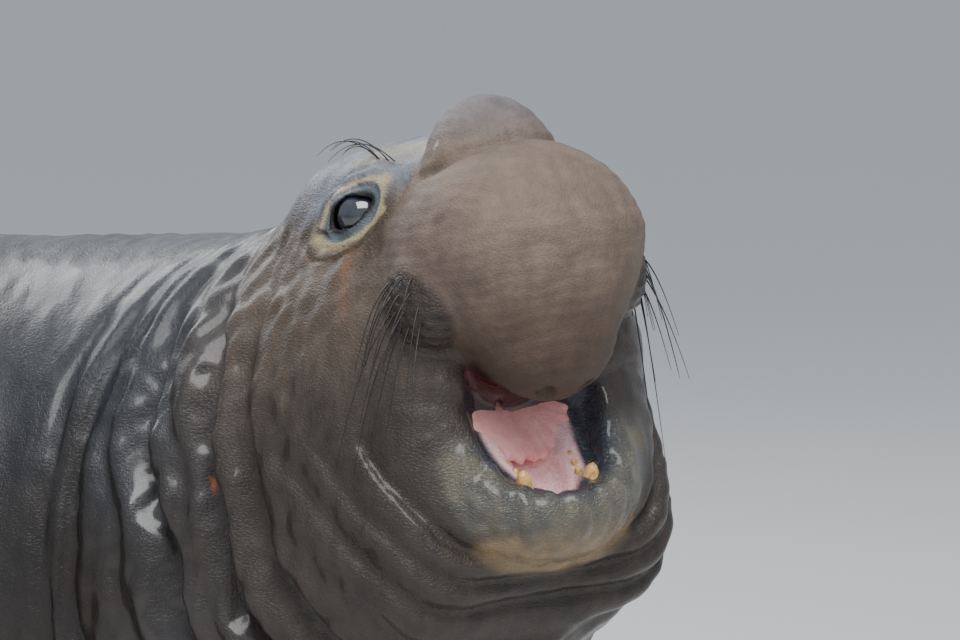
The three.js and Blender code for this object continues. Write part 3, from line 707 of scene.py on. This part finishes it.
def body_colour(points, normals, cloud):
    """Slate-blue painted sky reflection on the upward-facing back, over a brown flank and a paler belly."""
    # Painted sky reflection: the hide turns slate-blue as its normal faces up
    upward = smooth_step(-0.35, 0.75, normals[:, 2])
    tint = mix(FLANK, BACK_SKY_REFLECTION, np.clip(upward + cloud * 0.6, 0, 1))
    low = smooth_step(320, 60, points[:, 2]) * smooth_step(0.25, -0.5, normals[:, 2])
    tint = mix(tint, BELLY, low * 0.7)
    return tint * (1 + 0.22 * fractal(points, size=70, octaves=3, seed=73))[:, None]


def face_colour(q, cloud, streak):
    """Brown cheeks, paler over the brow and darker towards the throat."""
    tint = mix(FACE, BROW, smooth_step(20, 90, q[2] + 30 * cloud))
    tint = mix(tint, FLANK, smooth_step(-90, -260, q[2]) * 0.8)
    return tint * (1 + 0.28 * streak + 0.2 * cloud)[:, None]


def eye_colours(points, q, reach, tint, head_share):
    """The brow's pale band and crest, the cream ring, the lids, the tear line and the rust below."""
    forward = q[0] - EYE_CENTRE[0]
    above = q[2] - EYE_CENTRE[2]
    band = smooth_step(1.9, 2.4, reach) * smooth_step(4.6, 3.4, reach)
    band = band * smooth_step(4, 30, above - 0.2 * forward)
    tint = mix(tint, BROW * 1.3, band * 0.65 * head_share)
    crest = smooth_step(70, 96, q[2]) * smooth_step(-60, -10, q[0]) * smooth_step(20, 50, q[1])
    tint = mix(tint, EYE_RING, crest * 0.35)
    ring_end = reach + lumps(points, height=0.3, size=14, seed=77)
    ring = smooth_step(1.5, 1.75, reach) * smooth_step(2.3, 1.8, ring_end)
    upper = smooth_step(-30, 14, above + 24)
    tint = mix(tint, EYE_RING, ring * (0.4 + 0.35 * upper) * head_share)
    tint = mix(tint, LID, smooth_step(1.75, 1.5, reach))
    tear = np.exp(-((above + 16 + 0.35 * (q[0] + 45)) / 4) ** 2) * smooth_step(-34, -42, q[0])
    tear = tear * smooth_step(-78, -62, q[0]) * (q[1] > 90)
    tint = mix(tint, LID_RIM, np.clip(tear, 0, 1))
    rust = np.exp(-((q[0] - 10 + 0.4 * (q[2] + 40)) / 9) ** 2)
    rust = rust * smooth_step(-2, -20, q[2]) * smooth_step(-120, -60, q[2])
    tint = mix(tint, SCAR_RUST, rust * 0.12 * (q[1] > 80))
    return mix(tint, LID_RIM, smooth_step(1.28, 1.12, reach))


def nose_colour(points, q, cloud, streak):
    """Darker towards the tip, greyer on top and at the sides."""
    tint = mix(NOSE_DARK, NOSE_SKIN, smooth_step(-190, -60, q[2] + 16 * cloud))
    tint = mix(tint, BROW, smooth_step(60, 150, q[2]) * 0.55)
    tint = mix(tint, NOSE_SIDE, smooth_step(95, 130, q[1]) * 0.5)
    return tint * (1 + 0.1 * fractal(points, size=30, octaves=3, seed=79) + 0.1 * streak)[:, None]


def lip_colour(points, q):
    """Slate at the mouth's edge, with olive patches outside it."""
    olive = np.clip(0.5 + fractal(points, size=26, octaves=2, seed=81), 0, 1)
    outside = smooth_step(2, 26, mouth(q))
    return mix(LIP_SKIN, LIP_OLIVE, outside * (0.45 + 0.55 * olive))


def flesh_colour(points, q):
    """Pink gums, red palate and gullet darkened upwards and backwards as painted shade of the mouth's
    hollow, and the slate inner side of the lips.
    """
    # Painted shade: the flesh darkens up towards the palate and back into the gullet
    flesh = mix(GUM, PALATE_RED_AND_SHADE, smooth_step(-280, -200, q[2]))
    flesh = mix(flesh, GULLET_RED_AND_SHADE, smooth_step(122, 84, q[0]) * smooth_step(-264, -228, q[2]))
    flesh = flesh * (1 + 0.2 * fractal(points, size=20, octaves=2, seed=85))[:, None]
    tooth_line = 38 + 0.33 * (121 - q[0])
    beside = smooth_step(6, 16, q[1] - tooth_line) * smooth_step(62, 76, q[0])
    inner_lip = np.maximum(beside, smooth_step(142, 150, q[0])) * smooth_step(-196, -216, q[2])
    slate = LIP_SKIN * (1 + lumps(points, height=0.3, size=9, seed=87))[:, None]
    return mix(flesh, slate, inner_lip)


def colours(points, normals, q, zone):
    """Colour of the hide at each point, and how dull it is."""
    cloud = fractal(points, size=210, octaves=3, seed=71) * 0.5
    streak = fractal(points * (1, 1, 0.25), size=9, octaves=2, seed=75)
    head_share = smooth_step(*HEAD_COLOURS, q[0])
    tint = mix(body_colour(points, normals, cloud), face_colour(q, cloud, streak), head_share)
    tint = eye_colours(points, q, zone["eye"], tint, head_share)
    tint = mix(tint, nose_colour(points, q, cloud, streak), zone["nose"])
    tint = mix(tint, PAD_SKIN * (1 - 0.45 * follicle_rows(q))[:, None], zone["pad"])
    tint = mix(tint, lip_colour(points, q), zone["lip"])
    chin = CHIN_SKIN * (1 + lumps(points, height=0.3, size=14, seed=83))[:, None]
    chin_share = zone["chin"] * smooth_step(-372, -392, q[2] + 8 * cloud) * (1 - zone["mouth"])
    tint = mix(tint, chin, chin_share * 0.8)
    tint = mix(tint, flesh_colour(points, q), zone["mouth"])
    dull = (BODY_DULL + 0.08 * cloud) * (1 - head_share) + HEAD_DULL * head_share
    for part, value in DULLNESS.items():
        dull = dull * (1 - zone[part]) + value * zone[part]
    for a, b, c, length, width, turn, colour in HEAD_SCARS:
        centre = from_head((a, b, c))
        nearest = points[np.argmin(((points - centre) ** 2).sum(axis=1))]
        tint = mix(tint, colour, 0.8 * scar_share(points, nearest, length, width, turn))
    return np.clip(tint, 0.002, 1), dull


def neck_scars(points, tint):
    """Small bites and scratches over the neck and chest."""
    draw = np.random.default_rng(11)
    s, _ = along_spine(points[:, 0], points[:, 1])
    there = np.flatnonzero((s > -700) & (s < 1000) & (points[:, 2] > 120))
    picks = draw.choice(there, NECK_SCARS, replace=False)
    for pick in picks:
        colour = (SCAR_PINK, SCAR_WHITE, SCAR_RUST)[draw.integers(3)]
        length = draw.uniform(3, 16)
        width = draw.uniform(2, 5)
        near = np.flatnonzero(((points - points[pick]) ** 2).sum(axis=1) < (4 * length + 20) ** 2)
        share = scar_share(points[near], points[pick], length, width, draw.uniform(0, 180))
        tint[near] = mix(tint[near], colour, 0.7 * share)
    return tint


# Heights of the bumps in metres, for a noise or a cell edge of 1
FUR_HEIGHT = 0.0011
CRAZED_HEIGHT = 0.0022
CREASED_HEIGHT = 0.0036
MOTTLE_HEIGHT = 0.0016
TONGUE_BUMPS = 0.0012
HORN_BUMPS = 0.0004


def node_tree(name):
    material = bpy.data.materials.new(name)
    material.use_nodes = True
    tree = material.node_tree
    return material, tree, tree.nodes["Principled BSDF"]


def link(tree, source, target):
    tree.links.new(source, target)


def put(node, values):
    """Fixed values for a node's inputs."""
    for name, value in values.items():
        node.inputs[name].default_value = value


def math(tree, operation, a, b):
    node = tree.nodes.new("ShaderNodeMath")
    node.operation = operation
    for socket, value in zip(node.inputs, (a, b)):
        if isinstance(value, bpy.types.NodeSocket):
            link(tree, value, socket)
        else:
            socket.default_value = value
    return node.outputs[0]


def product(tree, a, b):
    return math(tree, "MULTIPLY", a, b)


def total(tree, a, b):
    return math(tree, "ADD", a, b)


def textured(tree, kind, scale, stretch):
    """A texture over the object's own coordinates, stretched along an axis."""
    where = tree.nodes.new("ShaderNodeTexCoord")
    place = tree.nodes.new("ShaderNodeMapping")
    put(place, {"Scale": stretch})
    made = tree.nodes.new(kind)
    put(made, {"Scale": scale})
    link(tree, where.outputs["Object"], place.inputs["Vector"])
    link(tree, place.outputs["Vector"], made.inputs["Vector"])
    return made


def noise(tree, scale, detail, roughness=0.6, stretch=(1, 1, 1)):
    made = textured(tree, "ShaderNodeTexNoise", scale, stretch)
    put(made, {"Detail": detail, "Roughness": roughness})
    return made.outputs["Fac"]


def cells(tree, scale, stretch):
    """Distance to the edges of small cells, for crazed and pebbled skin."""
    made = textured(tree, "ShaderNodeTexVoronoi", scale, stretch)
    made.feature = "DISTANCE_TO_EDGE"
    return made.outputs["Distance"]


def ramp(tree, factor, low, high, dark, light):
    """A colour between a dark and a light one, as a factor goes from low to high."""
    node = tree.nodes.new("ShaderNodeValToRGB")
    for element, place, colour in zip(node.color_ramp.elements, (low, high), (dark, light)):
        element.position = place
        element.color = (*colour, 1)
    link(tree, factor, node.inputs["Fac"])
    return node.outputs["Color"]


def bump(tree, shader, height):
    """Bumps whose height is in metres."""
    node = tree.nodes.new("ShaderNodeBump")
    put(node, {"Distance": 1.0})
    link(tree, height, node.inputs["Height"])
    link(tree, node.outputs["Normal"], shader.inputs["Normal"])


def attribute(tree, name):
    node = tree.nodes.new("ShaderNodeAttribute")
    node.attribute_name = name
    return node


def tinted(tree, colour, factor):
    """A colour made lighter or darker by a factor round 1."""
    node = tree.nodes.new("ShaderNodeVectorMath")
    node.operation = "SCALE"
    link(tree, colour, node.inputs[0])
    link(tree, factor, node.inputs["Scale"])
    return node.outputs[0]


def hide_material():
    """Short wet fur on wrinkled skin: colour, dullness and wetness come with the skin, grain from noise."""
    material, tree, shader = node_tree("hide")
    split = tree.nodes.new("ShaderNodeSeparateColor")
    link(tree, attribute(tree, "grain").outputs["Color"], split.inputs["Color"])
    dull, wrinkled, pebbled = split.outputs
    fur = noise(tree, 420.0, 3.0, 0.7, (1.0, 0.5, 0.5))
    mottle = noise(tree, 34.0, 5.0, 0.65)
    shade = total(tree, product(tree, fur, 0.55), product(tree, mottle, 0.9))
    shade = total(tree, shade, 0.28)
    tint = tinted(tree, attribute(tree, "tint").outputs["Color"], shade)
    link(tree, tint, shader.inputs["Base Color"])
    rough = product(tree, math(tree, "SUBTRACT", mottle, 0.5), 0.35)
    link(tree, total(tree, dull, rough), shader.inputs["Roughness"])
    crazed = math(tree, "MINIMUM", cells(tree, 150.0, (1.0, 1.0, 1.6)), 0.22)
    creased = math(tree, "MINIMUM", cells(tree, 95.0, (1.0, 1.0, 2.1)), 0.16)
    height = product(tree, fur, FUR_HEIGHT)
    for cover, share, tall in ((crazed, wrinkled, CRAZED_HEIGHT), (creased, pebbled, CREASED_HEIGHT)):
        part = product(tree, cover, product(tree, share, tall))
        height = total(tree, height, part)
    bump(tree, shader, total(tree, height, product(tree, mottle, MOTTLE_HEIGHT)))
    put(shader, {"IOR": 1.42, "Coat Roughness": 0.16})
    link(tree, attribute(tree, "wet").outputs["Fac"], shader.inputs["Coat Weight"])
    return material


def tongue_material():
    """Wet flesh with small bumps."""
    material, tree, shader = node_tree("tongue")
    tint = ramp(tree, noise(tree, 78.0, 4.0), 0.3, 0.7, linear(240, 160, 156), linear(255, 190, 186))
    link(tree, tint, shader.inputs["Base Color"])
    put(shader, {"Roughness": 0.36, "Subsurface Weight": 0.15,
                 "Subsurface Radius": (0.006, 0.002, 0.0015)})
    bump(tree, shader, product(tree, noise(tree, 260.0, 3.0), TONGUE_BUMPS))
    return material


def horn_material(name, tip, root, roughness):
    """Tooth, claw or feeler, streaked by fine noise."""
    material, tree, shader = node_tree(name)
    link(tree, ramp(tree, noise(tree, 160.0, 5.0), 0.35, 0.65, root, tip), shader.inputs["Base Color"])
    put(shader, {"Roughness": roughness})
    bump(tree, shader, product(tree, noise(tree, 500.0, 2.0), HORN_BUMPS))
    return material


def eye_material():
    """Dark eyeball under a clear, wet cornea, clouded here and there."""
    material, tree, shader = node_tree("eye")
    tint = ramp(tree, noise(tree, 28.0, 3.0), 0.35, 0.75, linear(14, 14, 18), linear(66, 72, 84))
    link(tree, tint, shader.inputs["Base Color"])
    put(shader, {"Roughness": 0.12, "Coat Weight": 1.0, "Coat Roughness": 0.02})
    return material


HIDE = hide_material()
TONGUE_FLESH = tongue_material()
IVORY = horn_material("teeth", linear(226, 188, 120), linear(176, 124, 60), 0.3)
CLAW = horn_material("claws", linear(52, 46, 42), linear(26, 23, 22), 0.35)
FEELER = horn_material("whiskers", linear(30, 26, 24), linear(14, 12, 12), 0.4)
EYEBALL = eye_material()


def add_hide():
    """The skin of the whole animal, standing for all the nodes of flesh."""
    line = [np.linspace(low, high, 9) for low, high in zip(*HIDE_BOX)]
    box = shrunk(np.stack(np.meshgrid(*line, indexing="ij"), -1).reshape(-1, 3))
    cell = FINE_CELL * 1
    low = box.min(axis=0) - HIDE_MARGIN
    points, quads = level_set(body, low, box.max(axis=0) + HIDE_MARGIN, cell, grown)
    normals = vertex_normals(points, quads)
    q = to_head(tuple(points.T))
    q = (q[0], np.abs(q[1]), q[2])
    zone = zones(q)
    lift = relief(points, q, zone) * smooth_step(0, 14, points[:, 2])
    clear = smooth_step(1.0, 1.3, zone["eye"])
    points = points + normals * (lift * clear)[:, None]
    points[:, 2] = np.maximum(points[:, 2], 0)
    tint, dull = colours(points, normals, q, zone)
    tint = neck_scars(points, tint)
    head_share = smooth_step(*HEAD_COLOURS, q[0])
    wrinkled = np.clip(0.35 + 0.65 * head_share - 0.4 * zone["nose"], 0, 1)
    pebbled = np.clip(zone["lip"] + zone["pad"] + zone["chin"], 0, 1) + 0.25 * (1 - head_share)
    hide = mesh_object("hide_skin", points, quads, HIDE, "hide")
    add_colour(hide.data, "tint", tint)
    s, _ = along_spine(points[:, 0], points[:, 1])
    folded = smooth_step(600, 760, s) * smooth_step(850, 650, points[:, 2])
    wet = 0.12 + 0.5 * folded + 0.15 * fractal(points, size=160, octaves=2, seed=91)
    wet = wet * (1 - zone["nose"]) * (1 - 0.4 * head_share)
    add_value(hide.data, "wet", np.clip(np.maximum(wet, 0.8 * zone["mouth"]), 0, 1))
    add_colour(hide.data, "grain", np.stack((dull, wrinkled, np.clip(pebbled, 0, 1)), -1))
    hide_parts("head", "neck", "torso_front", "torso_rear", "hindquarters", "tail", "proboscis",
                "lower_jaw", "fore_flipper_left", "fore_flipper_right", "hind_flipper_left",
                "hind_flipper_right")


def tongue_shape(q):
    """A broad, flat tongue with a notch at its tip and a groove along the middle."""
    c = np.cos(np.radians(TONGUE["tilt"]))
    s = np.sin(np.radians(TONGUE["tilt"]))
    x = q[0] - TONGUE["at"][0]
    z = q[2] - TONGUE["at"][2]
    ahead = x * c + z * s
    above = -x * s + z * c
    cup = above - 0.0040 * q[1] ** 2 + 0.0016 * ahead ** 2
    scallop = 1 + 0.022 * np.sin(np.arctan2(q[1], ahead) * 30)
    edge = np.sqrt((ahead / TONGUE["reach"]) ** 2 + (q[1] / TONGUE["half_width"]) ** 2) / scallop
    notch = 12 * np.exp(-(q[1] / 6) ** 2) * smooth_step(66, 90, ahead)
    groove = 3 * np.exp(-(q[1] / 7) ** 2) * smooth_step(0, 8, above)
    thick = TONGUE["half_thickness"] * np.sqrt(np.clip(1 - edge ** 3, 0.02, 1))
    return np.maximum((edge - 1) * 55 + notch, np.abs(cup) - thick + groove)


def add_tongue():
    points, quads = level_set(tongue_shape, *TONGUE_BOX, TONGUE_CELL)
    tongue = mesh_object("tongue_flesh", from_head(points), quads, TONGUE_FLESH, "tongue")
    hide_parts("tongue")


def sweep(path, radii, sides):
    """Vertices and quads of a tapered tube along a path, with a radius at each point of the path; its ends
    are left open.
    """
    path = np.asarray(path, float)
    tangent = np.gradient(path, axis=0)
    tangent /= np.linalg.norm(tangent, axis=1, keepdims=True)
    helper = np.array((0.31, 0.17, 0.93))
    first = np.cross(tangent, helper)
    first /= np.linalg.norm(first, axis=1, keepdims=True)
    second = np.cross(tangent, first)
    angle = np.arange(sides) * 2 * np.pi / sides
    ring = first[:, None] * np.cos(angle)[None, :, None] + second[:, None] * np.sin(angle)[None, :, None]
    points = (path[:, None] + ring * np.asarray(radii)[:, None, None]).reshape(-1, 3)
    i, j = np.meshgrid(np.arange(len(path) - 1), np.arange(sides), indexing="ij")
    a = i * sides + j
    b = i * sides + (j + 1) % sides
    quads = np.stack((a, b, b + sides, a + sides), -1).reshape(-1, 4)
    return points, quads


def joined(pieces):
    """Several meshes as one."""
    points = []
    quads = []
    count = 0
    for p, f in pieces:
        points.append(p)
        quads.append(f + count)
        count += len(p)
    return np.concatenate(points), np.concatenate(quads)


def curve_points(control, steps):
    """Points of a smooth curve through a few control points."""
    control = np.asarray(control, float)
    t = np.linspace(0, len(control) - 1, steps)
    i = np.clip(t.astype(int), 0, len(control) - 2)
    f = (t - i)[:, None]
    slope = np.gradient(control, axis=0)
    return ((2 * f ** 3 - 3 * f ** 2 + 1) * control[i] + (f ** 3 - 2 * f ** 2 + f) * slope[i]
            + (3 * f ** 2 - 2 * f ** 3) * control[i + 1] + (f ** 3 - f ** 2) * slope[i + 1])


def tooth(at, radius, height, lean, side):
    """A peg whose root is sunk into the jaw and whose tip is rounded."""
    lean = np.array(lean, float)
    steps = np.linspace(-0.6, 1, 18)
    path = [np.array(at) + lean * height * t * np.array((abs(t), 1, 1)) for t in steps]
    path = np.array(path) * (1, side, 1)
    t = np.clip((steps + 0.1) / 1.1, 0, 1)
    radii = radius * np.sqrt(np.clip(1 - t ** 2.4, 0.0004, 1))
    return sweep(from_head(path), radii, TOOTH_SIDES)


def add_teeth():
    """Canines and the small cheek teeth of the lower jaw."""
    first, last = np.array(CHEEK_TEETH)
    pieces = []
    for side, height in ((1, LEFT_CANINE_HEIGHT), (-1, RIGHT_CANINE_HEIGHT)):
        pieces.append(tooth(CANINE, CANINE_RADIUS, height, (0.3, 0.1, 1), side))
        for t in np.linspace(0, 1, CHEEK_TEETH_A_SIDE):
            at = first * (1 - t) + last * t
            pieces.append(tooth(at, CHEEK_TOOTH_RADIUS, CHEEK_TOOTH_HEIGHT, (0.1, -0.2, 1), side))
    mesh_object("teeth_lower", *joined(pieces), IVORY, "teeth")


def feeler(root, out, length, droop, back, radius, side):
    """A stiff hair that is rooted under the skin and bends down and back along its length."""
    t = np.linspace(0, 1, 18)[:, None]
    out = np.array(out)
    path = np.array(root) - out * FEELER_ROOT + out * (t * length * 0.95 + FEELER_ROOT * t)
    path = path + np.array((-back, 0, -droop)) * length * t ** 2
    radii = radius * (1 - 0.82 * t[:, 0]) + 0.12
    return sweep(from_head(path * (1, side, 1)), radii, FEELER_SIDES)


def add_whiskers():
    """Long black feelers in rows on each pad, and a few over each eye."""
    for name, side, seed, spread, aside in (("left", 1, 5, 0.14, 0.04), ("right", -1, 8, 0.4, 0.22)):
        draw = np.random.default_rng(seed)
        pieces = []
        for lift in np.linspace(-0.5, 0.5, 4):
            for turn in np.linspace(1.0, 2.1, 4) + draw.uniform(-0.08, 0.08):
                out = np.array((np.cos(lift) * np.cos(turn), np.cos(lift) * np.sin(turn), np.sin(lift)))
                root = np.array(PAD["at"]) + out * np.array(PAD["size"]) * 0.99
                lean = out * (0.45, spread, 0.4) + np.array((-0.02, aside, -0.35))
                lean = lean + draw.uniform(-0.14, 0.14, 3)
                length = draw.uniform(80, 150)
                droop = draw.uniform(0.5, 0.85)
                pieces.append(feeler(root, lean, length, droop, 0.1, PAD_FEELER_RADIUS, side))
        whiskers = mesh_object(f"whiskers_{name}", *joined(pieces), FEELER, "whiskers")
        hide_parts(f"whisker_pad_{name}")
    pieces = []
    draw = np.random.default_rng(3)
    for side in (1, -1):
        for k in range(6):
            root = (34 - 7 * k + draw.uniform(-3, 3), 94 + draw.uniform(-3, 3), 90 + draw.uniform(-5, 3))
            out = np.array((-0.5, 0.55, 1.15)) + draw.uniform(-0.12, 0.12, 3)
            length = draw.uniform(60, 95)
            pieces.append(feeler(root, out, length, 0.95, 0.15, BROW_FEELER_RADIUS, side))
    mesh_object("whiskers_brow", *joined(pieces), FEELER, "whiskers")


def eyeball():
    """Points and quads of a ball with a low cornea, looking up."""
    polar = np.linspace(0, np.pi, EYE_RINGS + 1)[1:-1]
    turn = np.arange(EYE_SIDES) * 2 * np.pi / EYE_SIDES
    bulge = 1 + CORNEA_BULGE * smooth_step(0.75, 0.35, polar)
    z = np.cos(polar) * bulge
    r = np.sin(polar) * bulge
    points = np.stack((r[:, None] * np.cos(turn), r[:, None] * np.sin(turn), z[:, None] + 0 * turn), -1)
    points = np.concatenate((points.reshape(-1, 3), [(0, 0, 1 + CORNEA_BULGE), (0, 0, -1)]))
    quads = []
    for i in range(EYE_RINGS - 2):
        for j in range(EYE_SIDES):
            a = i * EYE_SIDES
            k = (j + 1) % EYE_SIDES
            quads.append((a + j, a + EYE_SIDES + j, a + EYE_SIDES + k, a + k))
    top = (EYE_RINGS - 1) * EYE_SIDES
    low = top - EYE_SIDES
    for j in range(0, EYE_SIDES, 2):
        k = (j + 1) % EYE_SIDES
        m = (j + 2) % EYE_SIDES
        quads.append((top, j, k, m))
        quads.append((top + 1, low + m, low + k, low + j))
    return points * (EYE_RADIUS - EYE_GAP), quads


def add_eyes():
    """Eyeballs turned the way the lids open."""
    points, quads = eyeball()
    for name, side in (("left", 1), ("right", -1)):
        place = (points @ LID_AXES + EYE_CENTRE) * (1, side, 1)
        eye = mesh_object(f"eyeball_{name}", from_head(place), quads, EYEBALL, "eye")
        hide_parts(f"eye_{name}")


def flipper_spot(sizes, side, digit, u, lift):
    """A point on top of a flipper, on the line of one digit."""
    path = np.array(sizes["path"], float) * (1, side, 1)
    place = u * (len(path) - 1)
    i = int(np.clip(np.floor(place), 0, len(path) - 2))
    d = path[i + 1] - path[i]
    normal = np.cross(d, np.array(sizes["across"]) * (1, side, 1))
    normal /= np.linalg.norm(normal)
    lateral = np.cross(normal, d / np.linalg.norm(d))
    width = np.interp(u, np.linspace(0, 1, len(sizes["half_widths"])), sizes["half_widths"])
    spot = path[i] + d * (place - i) + lateral * width * (digit / 2 - 1) * 0.97
    return spot + np.array((0, 0, lift))


def add_claws():
    """Dark claws on the digits of the fore flippers."""
    pieces = []
    for side in (1, -1):
        for digit, reach in enumerate(FORE_FLIPPER["reach"]):
            control = [flipper_spot(FORE_FLIPPER, side, digit, reach * u, lift) for u, lift in CLAW_LINE]
            path = curve_points(control, CLAW_STEPS)
            path[:, 2] = np.maximum(path[:, 2], CLAW_LOWEST)
            radii = CLAW_RADIUS * np.sqrt(np.clip(1 - np.linspace(0, 1, CLAW_STEPS) ** 2, 0.01, 1))
            pieces.append(sweep(path, radii, CLAW_SIDES))
    mesh_object("claws", *joined(pieces), CLAW, "claws")


def add_floor():
    material, _, shader = node_tree("floor")
    put(shader, {"Base Color": (0.62, 0.62, 0.61, 1), "Roughness": 0.7})
    mesh = bpy.data.meshes.new("floor")
    corners = [(x * FLOOR_HALF, y * FLOOR_HALF, 0) for x, y in ((-1, -1), (1, -1), (1, 1), (-1, 1))]
    mesh.from_pydata(corners, [], [(0, 1, 2, 3)])
    mesh.materials.append(material)
    placed("floor", mesh)


# Camera: turned and raised from the animal's right side, in metres and aimed beside the head's middle
CAMERA_TURN = np.radians(12)
CAMERA_HEIGHT = np.radians(5)
CAMERA_DISTANCE = 12.0
FRAME_WIDTH = 1.152
SENSOR_WIDTH = 36.0
AIM_RIGHT = 0.030
AIM_DOWN = 0.118
FLOOR_HALF = 24.0
LIGHTS_FACE = Vector((0.5, -0.3, 0.7))


def add_camera():
    right = np.array((np.cos(CAMERA_TURN), np.sin(CAMERA_TURN), 0))
    ahead = np.array((-np.sin(CAMERA_TURN), np.cos(CAMERA_TURN), 0))
    look = ahead * np.cos(CAMERA_HEIGHT) - np.array((0, 0, 1)) * np.sin(CAMERA_HEIGHT)
    up = np.cross(right, look)
    aim = HEAD_AT * MM + right * AIM_RIGHT - up * AIM_DOWN
    place = aim - look * CAMERA_DISTANCE
    data = bpy.data.cameras.new("camera")
    data.sensor_width = SENSOR_WIDTH
    data.lens = SENSOR_WIDTH * CAMERA_DISTANCE / FRAME_WIDTH
    data.clip_end = 100.0
    camera = placed("camera", data)
    rows = [(right[i], up[i], -look[i], place[i]) for i in range(3)]
    camera.matrix_world = Matrix(rows + [(0, 0, 0, 1)])
    bpy.context.scene.camera = camera


def add_lights():
    """Soft daylight from a cloudy sky above and behind the camera."""
    world = bpy.data.worlds.new("sky")
    world.use_nodes = True
    put(world.node_tree.nodes["Background"], {"Color": (0.80, 0.86, 0.95, 1), "Strength": 0.7})
    bpy.context.scene.world = world
    for name, place, power in (("sky_key", (1.6, -3.2, 4.6), 330), ("sky_rim", (-2.4, 2.6, 3.8), 160)):
        data = bpy.data.lights.new(name, "AREA")
        data.energy = power
        data.size = 3.0
        light = placed(name, data)
        light.location = place
        toward = Vector(place) - LIGHTS_FACE
        light.rotation_euler = toward.to_track_quat("Z", "Y").to_euler()


add_hide()
add_tongue()
add_teeth()
add_whiskers()
add_eyes()
add_claws()
add_floor()
add_camera()
add_lights()
